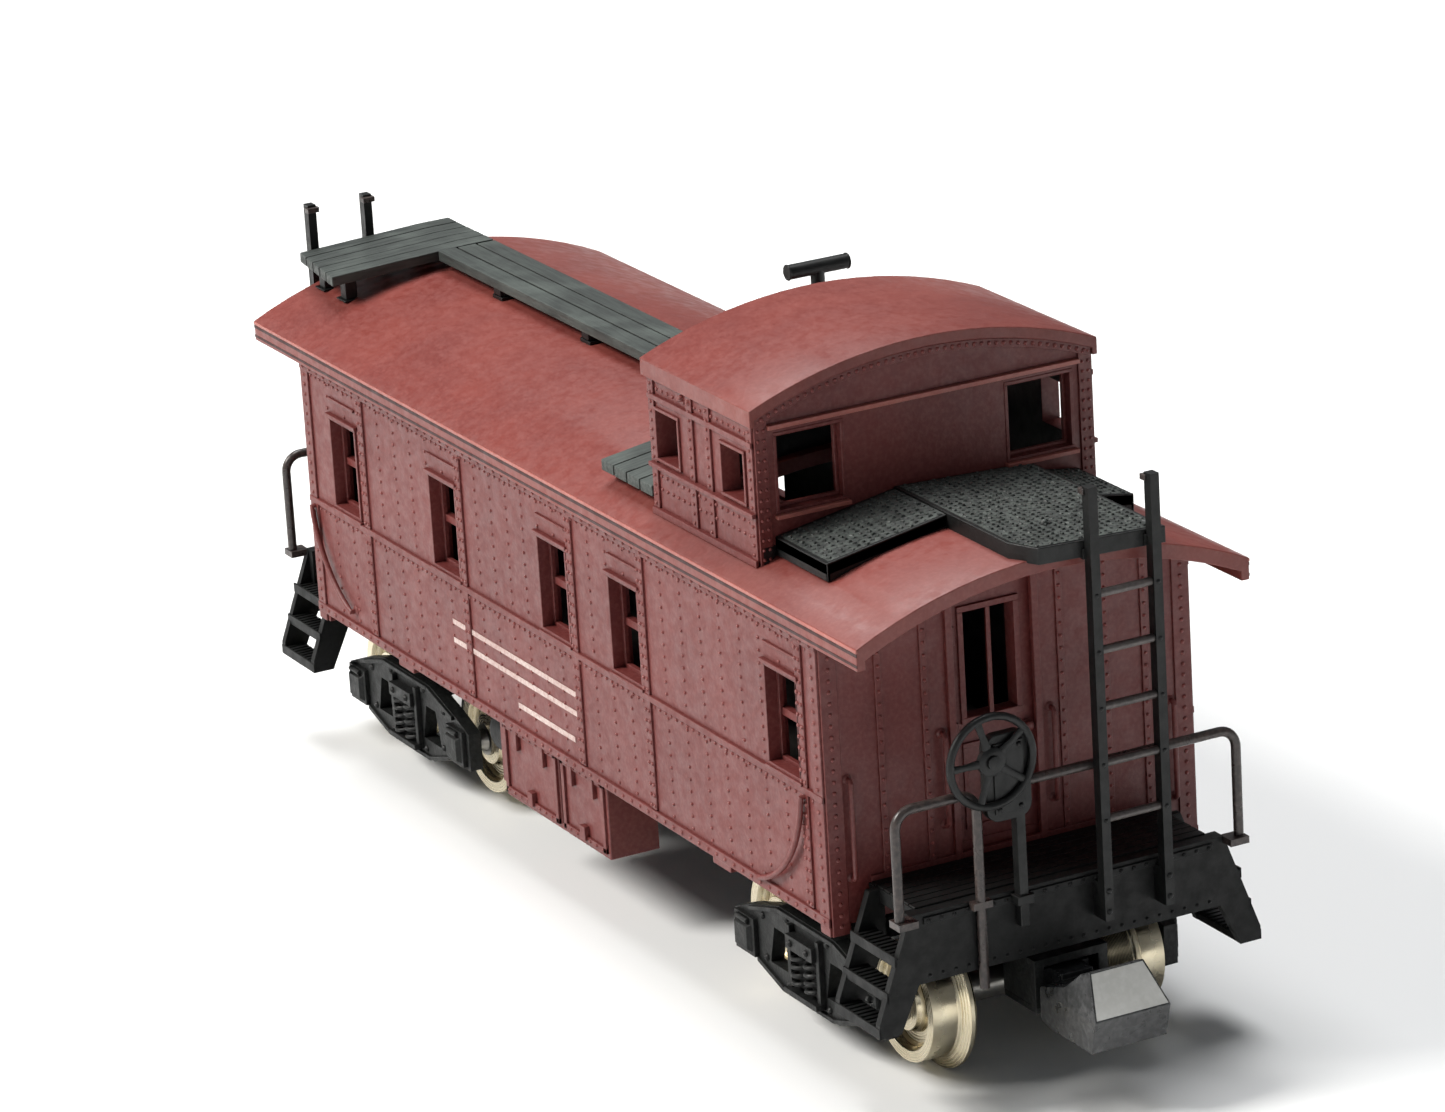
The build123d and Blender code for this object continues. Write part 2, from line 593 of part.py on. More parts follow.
# ---------------------------------------------------------------- end railing
wire = RAIL_WIRE / 2
rail_x = END_FACE_X + wire
rail_outer_y = 8.1
hoop_inner_y = 4.3
hoop_foot_z = 5.1
rail_bend = 0.8
foot_pad = (0.9, 0.3)
pad_inset = 0.2


def rail_path(points, radius):
    """Wire path in an upright plane across the car, with rounded corners."""
    with BuildLine() as path:
        FilletPolyline(*points, radius=radius)
    return path.line


with BuildPart() as end_railing:
    # Handrail hoop beside the steps, in front of the end beam.
    hoop = rail_path(
        [(rail_x, -rail_outer_y, DECK_TOP - foot_pad[1]), (rail_x, -rail_outer_y, RAIL_TOP),
         (rail_x, -hoop_inner_y, RAIL_TOP), (rail_x, -hoop_inner_y, hoop_foot_z)], rail_bend)
    with BuildSketch(Plane(origin=hoop @ 0, z_dir=hoop % 0)):
        Circle(wire)
    sweep(path=hoop)
    # Long rail from the hand brake, behind the ladder, to the steps on the other side.
    long_rail = rail_path(
        [(rail_x, BRAKE_HOUSING_Y[1], RAIL_TOP), (rail_x, rail_outer_y, RAIL_TOP),
         (rail_x, rail_outer_y, DECK_TOP - foot_pad[1])], rail_bend)
    with BuildSketch(Plane(origin=long_rail @ 0, z_dir=long_rail % 0)):
        Circle(wire)
    sweep(path=long_rail)
    # Pads on the end beam under the outer legs, and a clip for the inner leg.
    with BuildSketch(Plane.XY.offset(DECK_TOP - foot_pad[1])):
        with Locations([(END_FACE_X + wire, side * (rail_outer_y - pad_inset)) for side in (-1, 1)]):
            Rectangle(2 * RAIL_WIRE, foot_pad[0])
        with Locations((END_FACE_X + wire, -hoop_inner_y)):
            Rectangle(RAIL_WIRE, foot_pad[0])
    extrude(amount=foot_pad[1])
    add(end_platform.part, mode=Mode.SUBTRACT)

save_pair(end_railing.part, "end_railing")

# ---------------------------------------------------------------- ladders
# The two ladders stand at different distances from the centre line, each turned to face its own end.
ladder_x = END_FACE_X + RAIL_WIRE + LADDER_STILE[0] / 2
ladder_foot = DECK_TOP - 2.0
bracket_height = 1.6

for end, direction, centre_y in (("a", 1, LADDER_CENTRES_Y[0]), ("b", -1, LADDER_CENTRES_Y[1])):
    stiles = [(direction * ladder_x, centre_y + s * LADDER_HALF_SPACING) for s in (-1, 1)]
    with BuildPart() as ladder:
        with BuildSketch(Plane.XY.offset(ladder_foot)):
            with Locations(stiles):
                Rectangle(*LADDER_STILE)
        extrude(amount=LADDER_TOP - ladder_foot)
        # Brackets that hold the stiles to the end beam.
        with BuildSketch(Plane.XY.offset(ladder_foot)):
            with Locations([(direction * (END_FACE_X + RAIL_WIRE / 2), y) for _, y in stiles]):
                Rectangle(RAIL_WIRE, LADDER_STILE[1])
        extrude(amount=bracket_height)
        with BuildSketch(Plane.XZ.offset(-centre_y - LADDER_HALF_SPACING)):
            with Locations([(direction * ladder_x, RUNG_TOP - n * RUNG_PITCH) for n in range(RUNG_COUNT)]):
                Circle(RUNG_RADIUS)
        extrude(amount=2 * LADDER_HALF_SPACING)
    save(ladder.part, f"ladder_{end}")

# ---------------------------------------------------------------- hand brake
wheel_plane = Plane(origin=(BRAKE_HOUSING_X[1], *BRAKE_CENTRE), x_dir=(0, 1, 0), z_dir=(1, 0, 0))
spoke_width = 0.3

with BuildPart() as brake_wheel:
    with BuildSketch(wheel_plane):
        Circle(BRAKE_WHEEL_RADIUS)
        Circle(BRAKE_WHEEL_RADIUS - BRAKE_RIM, mode=Mode.SUBTRACT)
        with PolarLocations((BRAKE_WHEEL_RADIUS - BRAKE_RIM) / 2, BRAKE_SPOKES, start_angle=180):
            Rectangle(BRAKE_WHEEL_RADIUS, spoke_width)
        Circle(BRAKE_HUB_RADIUS)
    extrude(amount=BRAKE_RIM)

save_pair(brake_wheel.part, "brake_wheel")

# Tall gear housing behind the wheel, on a post that stands in front of the end beam.
housing_corner = 0.6
housing_width = BRAKE_HOUSING_Y[1] - BRAKE_HOUSING_Y[0]
housing_height = BRAKE_HOUSING_Z[1] - BRAKE_HOUSING_Z[0]
post_bottom = DECK_TOP - BRAKE_POST_BELOW_DECK
post_top = BRAKE_HOUSING_Z[0] + housing_height / 2
with BuildPart() as brake_stand:
    with BuildSketch(Plane.YZ.offset(BRAKE_HOUSING_X[0])):
        with Locations((sum(BRAKE_HOUSING_Y) / 2, sum(BRAKE_HOUSING_Z) / 2)):
            RectangleRounded(housing_width, housing_height, housing_corner)
    extrude(amount=BRAKE_HOUSING_X[1] - BRAKE_HOUSING_X[0])
    with BuildSketch(Plane.XY.offset(post_bottom)):
        with Locations((sum(BRAKE_HOUSING_X) / 2, BRAKE_POST_Y)):
            Rectangle(*BRAKE_POST)
    extrude(amount=post_top - post_bottom)

save_pair(brake_stand.part, "brake_stand")

# ---------------------------------------------------------------- trucks
frame_half_length = TRUCK_HALF_WHEELBASE + 1.15
journal_z = (2.2, 4.0)
top_chord_z = 5.3
bottom_chord_z = 1.5
window_x = 2.45
BOLSTER_BOTTOM = 4.4
BOLSTER_DEPTH = 0.9
BOLSTER_WIDTH = 3.0
BOLSTER_PAD_RADIUS = 2.0
TONGUE_WIDTH = 2.6
BEARING_MOUTH = 0.28
BEARING_SEAT = 0.05
BEARING_DEPTH = 0.34
pocket_x = (26.6, 29.2)
pocket_z = (3.45, 5.5)
pocket_wall = 0.45
pocket_roof = 0.35
COVER_THICKNESS = 0.3
POCKET_HALF_WIDTH = 1.75


def side_frame_outline():
    """Cast side frame seen along Y: top chord, journal boxes and a dropped bottom chord."""
    half = frame_half_length
    with BuildLine() as outline:
        Polyline(
            (-half, journal_z[0]), (-half, journal_z[1]), (-half + 1.3, journal_z[1] + 0.5),
            (-window_x, top_chord_z), (window_x, top_chord_z), (half - 1.3, journal_z[1] + 0.5),
            (half, journal_z[1]), (half, journal_z[0]), (half - 1.9, journal_z[0]),
            (window_x, bottom_chord_z), (-window_x, bottom_chord_z), (-half + 1.9, journal_z[0]),
            close=True)
    return outline.line


with BuildPart() as truck_frame:
    for side in (-1, 1):
        inner_face = Plane(
            origin=(TRUCK_CENTRE_X, side * FRAME_INNER_Y, 0), x_dir=(1, 0, 0), z_dir=(0, -1, 0))
        with BuildSketch(inner_face):
            with BuildLine():
                add(side_frame_outline())
            make_face()
        extrude(amount=-side * FRAME_THICKNESS)
    # Windows either side of the bolster.
    with BuildSketch(Plane.XZ.offset(-2 * BODY_HALF_WIDTH)):
        with Locations((TRUCK_CENTRE_X - window_x, 3.3), (TRUCK_CENTRE_X + window_x, 3.3)):
            Trapezoid(1.9, 1.7, 75)
    extrude(amount=4 * BODY_HALF_WIDTH, mode=Mode.SUBTRACT)
    # Bolster across the truck.
    with BuildSketch(Plane.XY.offset(BOLSTER_BOTTOM)):
        with Locations((TRUCK_CENTRE_X, 0)):
            Rectangle(BOLSTER_WIDTH, 2 * FRAME_INNER_Y + 0.2)
    extrude(amount=BOLSTER_DEPTH)
    with BuildSketch(Plane.XY.offset(BOLSTER_BOTTOM)):
        with Locations((TRUCK_CENTRE_X, 0)):
            Circle(BOLSTER_PAD_RADIUS)
    extrude(amount=BOLSTER_TOP - BOLSTER_BOTTOM)
    # Tongue that runs out over the axle to the coupler pocket.
    with BuildSketch(Plane.XY.offset(BOLSTER_BOTTOM)):
        with Locations(((TRUCK_CENTRE_X + pocket_x[0]) / 2, 0)):
            Rectangle(pocket_x[0] - TRUCK_CENTRE_X + pocket_wall, TONGUE_WIDTH)
    extrude(amount=BOLSTER_DEPTH)
    with BuildSketch(Plane.XY.offset(pocket_z[0])):
        with Locations(((pocket_x[0] + pocket_x[1]) / 2, 0)):
            Rectangle(pocket_x[1] - pocket_x[0], 2 * POCKET_HALF_WIDTH)
    extrude(amount=pocket_z[1] - pocket_z[0])
    # Pocket: open below for the cover and in front for the shank.
    with BuildSketch(Plane.XY.offset(pocket_z[0])):
        with Locations(((pocket_x[0] + pocket_wall + pocket_x[1]) / 2 + 0.5, 0)):
            Rectangle(pocket_x[1] - pocket_x[0] - pocket_wall + 1.0, 2 * (POCKET_HALF_WIDTH - pocket_wall))
    extrude(amount=pocket_z[1] - pocket_z[0] - pocket_roof, mode=Mode.SUBTRACT)
    # Hole for the centre pin.
    with BuildSketch(Plane.XY):
        with Locations((TRUCK_CENTRE_X, 0)):
            Circle(PIN_RADIUS + RUNNING_CLEARANCE)
    extrude(amount=2 * BOLSTER_TOP, mode=Mode.SUBTRACT)
    # Cone-shaped bearings for the axle points.
    for side in (-1, 1):
        for axle in (-1, 1):
            mouth = Plane(
                origin=(TRUCK_CENTRE_X + axle * TRUCK_HALF_WHEELBASE, side * FRAME_INNER_Y, AXLE_HEIGHT),
                x_dir=(1, 0, 0), z_dir=(0, side, 0))
            with BuildSketch(mouth) as bearing_mouth:
                Circle(BEARING_MOUTH)
            with BuildSketch(mouth.offset(BEARING_DEPTH)) as bearing_seat:
                Circle(BEARING_SEAT)
            cone_ends = [bearing_mouth.sketch.faces()[0], bearing_seat.sketch.faces()[0]]
            loft(sections=cone_ends, mode=Mode.SUBTRACT)

save_pair(truck_frame.part, "truck_frame")

# Cover that closes the coupler pocket from below.
with BuildPart() as coupler_cover:
    with BuildSketch(Plane.XY.offset(pocket_z[0] - COVER_THICKNESS)):
        with Locations(((pocket_x[0] + pocket_x[1]) / 2, 0)):
            Rectangle(pocket_x[1] - pocket_x[0], 2 * POCKET_HALF_WIDTH)
    extrude(amount=COVER_THICKNESS)

save_pair(coupler_cover.part, "coupler_cover")

# Centre pin: pressed up into the underframe boss, its head under the bolster.
pin_head = (1.6, 0.65)
pin_bottom = BOLSTER_BOTTOM - RUNNING_CLEARANCE - pin_head[1]

with BuildPart() as truck_pin:
    with BuildSketch(Plane.XY.offset(pin_bottom)):
        with Locations((TRUCK_CENTRE_X, 0)):
            Circle(pin_head[0])
    extrude(amount=pin_head[1])
    with BuildSketch(Plane.XY.offset(pin_bottom)):
        with Locations((TRUCK_CENTRE_X, 0)):
            Circle(PIN_RADIUS)
    extrude(amount=FLOOR_BOTTOM + FLOOR_THICKNESS - pin_bottom)

save_pair(truck_pin.part, "truck_pin")

# ---------------------------------------------------------------- wheelsets
journal_y = 5.75
journal_radius = 0.5
point_radius = 0.08
flange_tip = (0.15, 0.32)
rim_radius = 2.1
hub_radius = 1.2
dish_depth = 0.5
dish_slope = 0.2

for truck, direction in (("a", 1), ("b", -1)):
    for number, axle in ((1, 1), (2, -1)):
        axle_x = direction * (TRUCK_CENTRE_X + axle * TRUCK_HALF_WHEELBASE)
        axle_plane = Plane(origin=(axle_x, 0, AXLE_HEIGHT), x_dir=(0, 1, 0), z_dir=(1, 0, 0))
        spin_axis = Axis((axle_x, 0, AXLE_HEIGHT), (0, 1, 0))
        with BuildPart() as axle_rod:
            with BuildSketch(axle_plane):
                with BuildLine():
                    Polyline(
                        (-AXLE_HALF_LENGTH, 0), (-AXLE_HALF_LENGTH, point_radius),
                        (-journal_y, journal_radius), (-journal_y, AXLE_RADIUS),
                        (journal_y, AXLE_RADIUS), (journal_y, journal_radius),
                        (AXLE_HALF_LENGTH, point_radius), (AXLE_HALF_LENGTH, 0), close=True)
                make_face()
            revolve(axis=spin_axis)
        save(axle_rod.part, f"axle_{truck}{number}")

        outer_y = WHEEL_BACK_Y + WHEEL_WIDTH
        tread_y = WHEEL_BACK_Y + FLANGE_WIDTH
        with BuildPart() as wheels:
            with BuildSketch(axle_plane):
                with BuildLine():
                    Polyline(
                        (WHEEL_BACK_Y, AXLE_RADIUS), (WHEEL_BACK_Y, FLANGE_RADIUS - 0.12),
                        (WHEEL_BACK_Y + flange_tip[0], FLANGE_RADIUS),
                        (WHEEL_BACK_Y + flange_tip[1], FLANGE_RADIUS),
                        (tread_y, TREAD_RADIUS + 0.08), (tread_y + 0.12, TREAD_RADIUS),
                        (outer_y, TREAD_RADIUS - 0.05), (outer_y, rim_radius),
                        (outer_y - dish_depth, rim_radius - dish_slope),
                        (outer_y - dish_depth, hub_radius + dish_slope),
                        (outer_y, hub_radius), (outer_y, AXLE_RADIUS), close=True)
                make_face()
                mirror(about=Plane.YZ)
            revolve(axis=spin_axis)
        save(wheels.part, f"wheels_{truck}{number}")

# ---------------------------------------------------------------- couplers
shank_half = 0.75
shank_z = (3.95, 4.85)
tail_size = (0.7, 2.2)
head_back_x = 29.6
head_bottom_z = 2.9
head_back_top_z = 4.55
crest = (COUPLER_FACE_X - 1.2, 6.1)
nose_z = 4.4
crest_half_width = 1.3
slot_x = (head_back_x + 0.9, COUPLER_FACE_X - 1.6)

with BuildPart() as coupler:
    # Tail inside the pocket.
    with BuildSketch(Plane.XY.offset(shank_z[0])):
        with Locations((COUPLER_PIVOT_X, 0)):
            Rectangle(*tail_size)
        with Locations(((COUPLER_PIVOT_X + head_back_x) / 2, 0)):
            Rectangle(head_back_x - COUPLER_PIVOT_X + 0.2, 2 * shank_half)
    extrude(amount=shank_z[1] - shank_z[0])
    # Box-hook head: its back rises towards the crest, and a sloping face leads down to the nose.
    with BuildSketch(Plane.XZ.offset(-COUPLER_HALF_WIDTH)):
        with BuildLine():
            Polyline(
                (head_back_x, head_bottom_z + 0.2), (head_back_x, head_back_top_z),
                (head_back_x + 1.7, head_back_top_z + 0.5), (crest[0] - 0.6, crest[1] - 0.25), crest,
                (COUPLER_FACE_X, nose_z), (COUPLER_FACE_X - 0.4, head_bottom_z),
                (head_back_x + 1.0, head_bottom_z), close=True)
        make_face()
    extrude(amount=2 * COUPLER_HALF_WIDTH)
    # The sides of the head lean in above the nose.
    clear_y = 2 * COUPLER_HALF_WIDTH
    for side in (-1, 1):
        with BuildSketch(Plane.YZ.offset(head_back_x)):
            with BuildLine():
                Polyline(
                    (side * COUPLER_HALF_WIDTH, nose_z), (side * crest_half_width, crest[1]),
                    (side * clear_y, crest[1]), (side * clear_y, nose_z), close=True)
            make_face()
        extrude(amount=COUPLER_FACE_X, mode=Mode.SUBTRACT)
    # Slot for the other coupler's nose, open below.
    with BuildSketch(Plane.XY.offset(head_bottom_z)):
        with Locations((sum(slot_x) / 2, 0)):
            Rectangle(slot_x[1] - slot_x[0], 2 * crest_half_width)
    extrude(amount=nose_z - head_bottom_z, mode=Mode.SUBTRACT)

save_pair(coupler.part, "coupler")

# Small coil spring between the tail and the back of the pocket.
spring_wire = 0.07
spring_radius = 0.4
spring_turns = 3
tail_swing_gap = 0.22
spring_start_x = pocket_x[0] + pocket_wall + spring_wire
spring_length = COUPLER_PIVOT_X - tail_size[0] / 2 - tail_swing_gap - spring_start_x

with BuildPart() as coupler_spring:
    coil = Helix(pitch=spring_length / spring_turns, height=spring_length, radius=spring_radius,
                 center=(spring_start_x, 0, COUPLER_PIVOT_Z), direction=(1, 0, 0))
    with BuildSketch(Plane(origin=coil @ 0, z_dir=coil % 0)):
        Circle(spring_wire)
    sweep(path=coil, is_frenet=True)

save_pair(coupler_spring.part, "coupler_spring")
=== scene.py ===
"""Looks of an N scale riveted-steel cupola caboose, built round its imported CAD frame.

Pieces are drawn in millimetres in the row frame and scaled to metres when they are finished.
Whatever stands at end "a" (+X) is turned half round about Z for end "b", apart from its ladder.
"""
import random
from math import atan2, cos, hypot, pi, radians, remainder, sin, sqrt

import bmesh
import bpy
from mathutils import Matrix, Vector


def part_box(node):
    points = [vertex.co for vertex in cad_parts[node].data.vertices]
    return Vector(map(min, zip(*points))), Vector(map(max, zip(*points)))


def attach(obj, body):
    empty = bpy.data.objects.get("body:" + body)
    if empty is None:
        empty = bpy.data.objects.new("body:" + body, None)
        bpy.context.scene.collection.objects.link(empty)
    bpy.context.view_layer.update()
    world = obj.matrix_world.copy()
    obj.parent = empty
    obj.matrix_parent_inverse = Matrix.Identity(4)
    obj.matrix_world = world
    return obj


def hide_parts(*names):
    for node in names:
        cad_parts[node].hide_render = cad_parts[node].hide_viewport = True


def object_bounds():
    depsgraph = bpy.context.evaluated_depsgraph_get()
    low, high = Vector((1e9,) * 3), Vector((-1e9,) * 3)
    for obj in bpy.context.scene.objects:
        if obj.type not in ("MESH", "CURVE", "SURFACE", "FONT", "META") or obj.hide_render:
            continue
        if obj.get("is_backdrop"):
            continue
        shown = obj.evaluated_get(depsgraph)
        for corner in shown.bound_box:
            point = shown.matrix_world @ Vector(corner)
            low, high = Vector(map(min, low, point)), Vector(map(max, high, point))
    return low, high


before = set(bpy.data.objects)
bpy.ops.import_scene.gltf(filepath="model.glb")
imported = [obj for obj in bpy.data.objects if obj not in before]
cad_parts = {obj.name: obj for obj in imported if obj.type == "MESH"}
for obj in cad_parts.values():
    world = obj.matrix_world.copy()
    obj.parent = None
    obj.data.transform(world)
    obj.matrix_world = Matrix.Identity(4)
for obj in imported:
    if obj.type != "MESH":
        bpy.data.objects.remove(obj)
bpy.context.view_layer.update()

MM = 0.001
HALF_TURN = Matrix.Rotation(pi, 4, "Z")
random.seed(160)


# ---- sizes (mm)
def box_mm(node):
    """Lowest and highest corner of a CAD node, in millimetres."""
    lo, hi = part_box(node)
    return lo / MM, hi / MM


body_lo, body_hi = box_mm("body_shell")
roof_lo, roof_hi = box_mm("main_roof")
cupola_lo, cupola_hi = box_mm("cupola_walls")
walk_lo, walk_hi = box_mm("roofwalk_main")
front_lo, front_hi = box_mm("roofwalk_front")
rear_lo, rear_hi = box_mm("roofwalk_rear")
box_lo, box_hi = box_mm("battery_box_left")
deck_hi = box_mm("end_platform_a")[1]
wheel_lo, wheel_hi = box_mm("brake_wheel_a")
cover_lo, cover_hi = box_mm("coupler_cover_a")
AXLE_Z = sum(corner.z for corner in box_mm("wheels_a1")) / 2

ROOF_RADIUS = 21.4
ROOF_THICKNESS = 0.65
CUPOLA_ROOF_RADIUS = 21.7
CUPOLA_ROOF_PEAK = box_mm("cupola_roof")[1].z

SIDE_SILL = body_lo.z + 0.4
WINDOW_X = (-20.7, -10.05, 0.95, 7.75, 21.8)
WINDOW_Z = 15.4
WINDOW_SIZE = (2.6, 4.2)
SEAM_X = (-18.6, -8.3, 2.74, 9.47, 23.4)
BELT_Z = (12.75, 13.05)
CUPOLA_WINDOW_X = (11.45, 17.25)
CUPOLA_WINDOW_Z = 24.8
CUPOLA_WINDOW_SIZE = (1.9, 2.1)
CUPOLA_END_WINDOW_Y = (-5.5, 5.5)
CUPOLA_END_WINDOW_Z = 25.05
CUPOLA_END_WINDOW_SIZE = (3.0, 3.2)
DOOR_Y = -0.7
DOOR_Z = (8.85, 20.75)
DOOR_WIDTH = 4.1
DOOR_RECESS = 0.25
DOOR_WINDOW = (2.4, 4.6)
DOOR_WINDOW_Z = 17.2
TRUCK_X = 19.5
HALF_WHEELBASE = 5.3
DECK_TOP = 8.9

RIVET = 0.1
SMALL_RIVET = 0.085
RIVET_HEIGHT = 0.07
STRAP = 0.1
SINK = 0.05
CORNER = 0.8
SHARP_ANGLE = radians(38)
SIDES = (("right", -1), ("left", 1))


def crown(peak, radius, y):
    """Height of a crowned roof at distance y from the centre line."""
    return peak - radius + sqrt(radius ** 2 - y ** 2)


def roof_top(y):
    return crown(roof_hi.z, ROOF_RADIUS, y)


def cupola_top(y):
    return crown(CUPOLA_ROOF_PEAK, CUPOLA_ROOF_RADIUS, y)


# ---- mesh building
def circle(count):
    """Evenly spaced angles of one full turn."""
    return [2 * pi * i / count for i in range(count)]


def cross_section(axis):
    """Unit axis and the two directions across it."""
    axis = Vector(axis).normalized()
    across = axis.orthogonal().normalized()
    return axis, across, axis.cross(across)


def hoop(centre, across, along, radius, sides):
    """Points of a circle in the plane of two directions."""
    return [centre + (across * cos(t) + along * sin(t)) * radius for t in circle(sides)]


def about(middle, half):
    """Range reaching equally far either side of a middle."""
    return middle - half, middle + half


def skin(face, proud, side=1, sink=SINK):
    """Range through a wall's face, from a little inside it to proud of it on its outward side."""
    return face - sink * side, face + proud * side


class Piece:
    """One visual piece: closed solids collected in a bmesh, in millimetres."""

    def __init__(self, name):
        self.name = name
        self.mesh = bmesh.new()

    def band(self, below, above):
        """Faces between two rings of equally many points."""
        for i in range(len(below)):
            j = (i + 1) % len(below)
            self.mesh.faces.new((below[i], below[j], above[j], above[i]))

    def solid(self, rings):
        """Closed solid through rings of equally many points, capped at both ends."""
        rows = [[self.mesh.verts.new(point) for point in ring] for ring in rings]
        for below, above in zip(rows, rows[1:]):
            self.band(below, above)
        self.mesh.faces.new(rows[0][::-1])
        self.mesh.faces.new(rows[-1])

    def prism(self, outline, push):
        """Outline pushed along a vector."""
        self.solid([outline, [Vector(point) + Vector(push) for point in outline]])

    def block(self, x, y, z):
        """Box between the ends of three ranges, whichever way round they run."""
        outline = [(x[0], y[0], z[0]), (x[1], y[0], z[0]), (x[1], y[1], z[0]), (x[0], y[1], z[0])]
        self.prism(outline, (0, 0, z[1] - z[0]))

    def arch(self, x, half_width, height_at, depth, steps=32):
        """Strip of even depth under a crowned line, between two x places."""
        rows = []
        for i in range(steps + 1):
            y = half_width * (2 * i / steps - 1)
            top = height_at(y)
            rows.append([(x[0], y, top - depth), (x[1], y, top - depth), (x[1], y, top), (x[0], y, top)])
        self.solid(rows)

    def lathe(self, centre, axis, profile, sides=32):
        """Solid turned about an axis; the profile gives (distance along the axis, radius)."""
        axis, across, along = cross_section(axis)
        centre = Vector(centre)
        self.solid([hoop(centre + axis * lift, across, along, radius, sides) for lift, radius in profile])

    def dome(self, centre, normal, radius=RIVET, height=RIVET_HEIGHT, sides=7):
        """Rivet or bolt head, its foot sunk a little below the surface."""
        shape = ((-0.3, 1.0), (0.15, 1.0), (0.75, 0.72), (1.0, 0.25))
        self.lathe(centre, normal, [(height * lift, radius * share) for lift, share in shape], sides)

    def rivets(self, start, end, normal, pitch=0.5, keep=None, radius=RIVET):
        """Row of rivets from start to end, left out where keep says so."""
        start, end = Vector(start), Vector(end)
        count = max(1, round((end - start).length / pitch))
        for i in range(count + 1):
            place = start.lerp(end, i / count)
            if keep is None or keep(place):
                self.dome(place, normal, radius)

    def tube(self, points, radius, sides=10):
        """Round wire along a line of points, with flat ends."""
        points = [Vector(point) for point in points]
        across = (points[1] - points[0]).normalized().orthogonal().normalized()
        rings = []
        for i, point in enumerate(points):
            before = points[max(i - 1, 0)]
            after = points[min(i + 1, len(points) - 1)]
            heading = (after - before).normalized()
            across = (across - heading * across.dot(heading)).normalized()
            rings.append(hoop(point, across, heading.cross(across), radius, sides))
        self.solid(rings)

    def ring(self, centre, axis, radius, wire, steps=56, sides=12):
        """Closed round hoop of round wire."""
        axis, across, along = cross_section(axis)
        rows = []
        for t in circle(steps):
            out = across * cos(t) + along * sin(t)
            section = hoop(Vector(centre) + out * radius, out, axis, wire, sides)
            rows.append([self.mesh.verts.new(point) for point in section])
        for below, above in zip(rows, rows[1:] + rows[:1]):
            self.band(below, above)

    def finish(self, material, slot, body="root", edge=0.0, turn=None, replaces=()):
        """Make the Blender object: scaled, shaded, with small rounded edges, riding on its body."""
        bmesh.ops.recalc_face_normals(self.mesh, faces=self.mesh.faces)
        if turn is not None:
            self.mesh.transform(turn)
        self.mesh.transform(Matrix.Scale(MM, 4))
        data = bpy.data.meshes.new(self.name)
        self.mesh.to_mesh(data)
        self.mesh.free()
        data.polygons.foreach_set("use_smooth", [True] * len(data.polygons))
        data.set_sharp_from_angle(angle=SHARP_ANGLE)
        data.materials.append(material)
        piece = bpy.data.objects.new(self.name, data)
        bpy.context.scene.collection.objects.link(piece)
        if edge:
            round_edges(piece, edge)
        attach(piece, body)
        if replaces:
            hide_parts(*replaces)
        return piece


def round_edges(piece, width):
    """Small rounded edges on every sharp corner."""
    bevel = piece.modifiers.new("edges", "BEVEL")
    bevel.width = width * MM
    bevel.segments = 2
    bevel.limit_method = "ANGLE"
    bevel.angle_limit = SHARP_ANGLE
    bevel.harden_normals = True


def window_ring(piece, place, z, size, face, out, rim, proud, along):
    """Four strips round an opening in a wall that runs along "x" or "y". out is its outward sign."""
    half_w, half_h = size[0] / 2, size[1] / 2
    whole = (-half_w - rim, half_w + rim)
    upright = (-half_h, half_h)
    for across, up in ((whole, (half_h, half_h + rim)), (whole, (-half_h - rim, -half_h)),
                       ((-half_w - rim, -half_w), upright), ((half_w, half_w + rim), upright)):
        spans = [(place + across[0], place + across[1]), skin(face, proud, out)]
        if along == "y":
            spans.reverse()
        piece.block(*spans, (z + up[0], z + up[1]))


def arc_through(first, middle, last, steps=14):
    """Points on the circle through three points of a plane."""
    (ax, ay), (bx, by), (cx, cy) = first, middle, last
    d = 2 * (ax * (by - cy) + bx * (cy - ay) + cx * (ay - by))
    a2, b2, c2 = ax ** 2 + ay ** 2, bx ** 2 + by ** 2, cx ** 2 + cy ** 2
    ux = (a2 * (by - cy) + b2 * (cy - ay) + c2 * (ay - by)) / d
    uy = (a2 * (cx - bx) + b2 * (ax - cx) + c2 * (bx - ax)) / d
    radius = hypot(ax - ux, ay - uy)
    start = atan2(ay - uy, ax - ux)
    sweep = remainder(atan2(cy - uy, cx - ux) - start, 2 * pi)
    angles = [start + sweep * i / steps for i in range(steps + 1)]
    return [(ux + radius * cos(angle), uy + radius * sin(angle)) for angle in angles]


# ---- materials
def srgb(red, green, blue):
    """Linear colour from the usual 0 to 255 values."""
    shares = [value / 255 for value in (red, green, blue)]
    return *(((v + 0.055) / 1.055) ** 2.4 if v > 0.04 else v / 12.92 for v in shares), 1


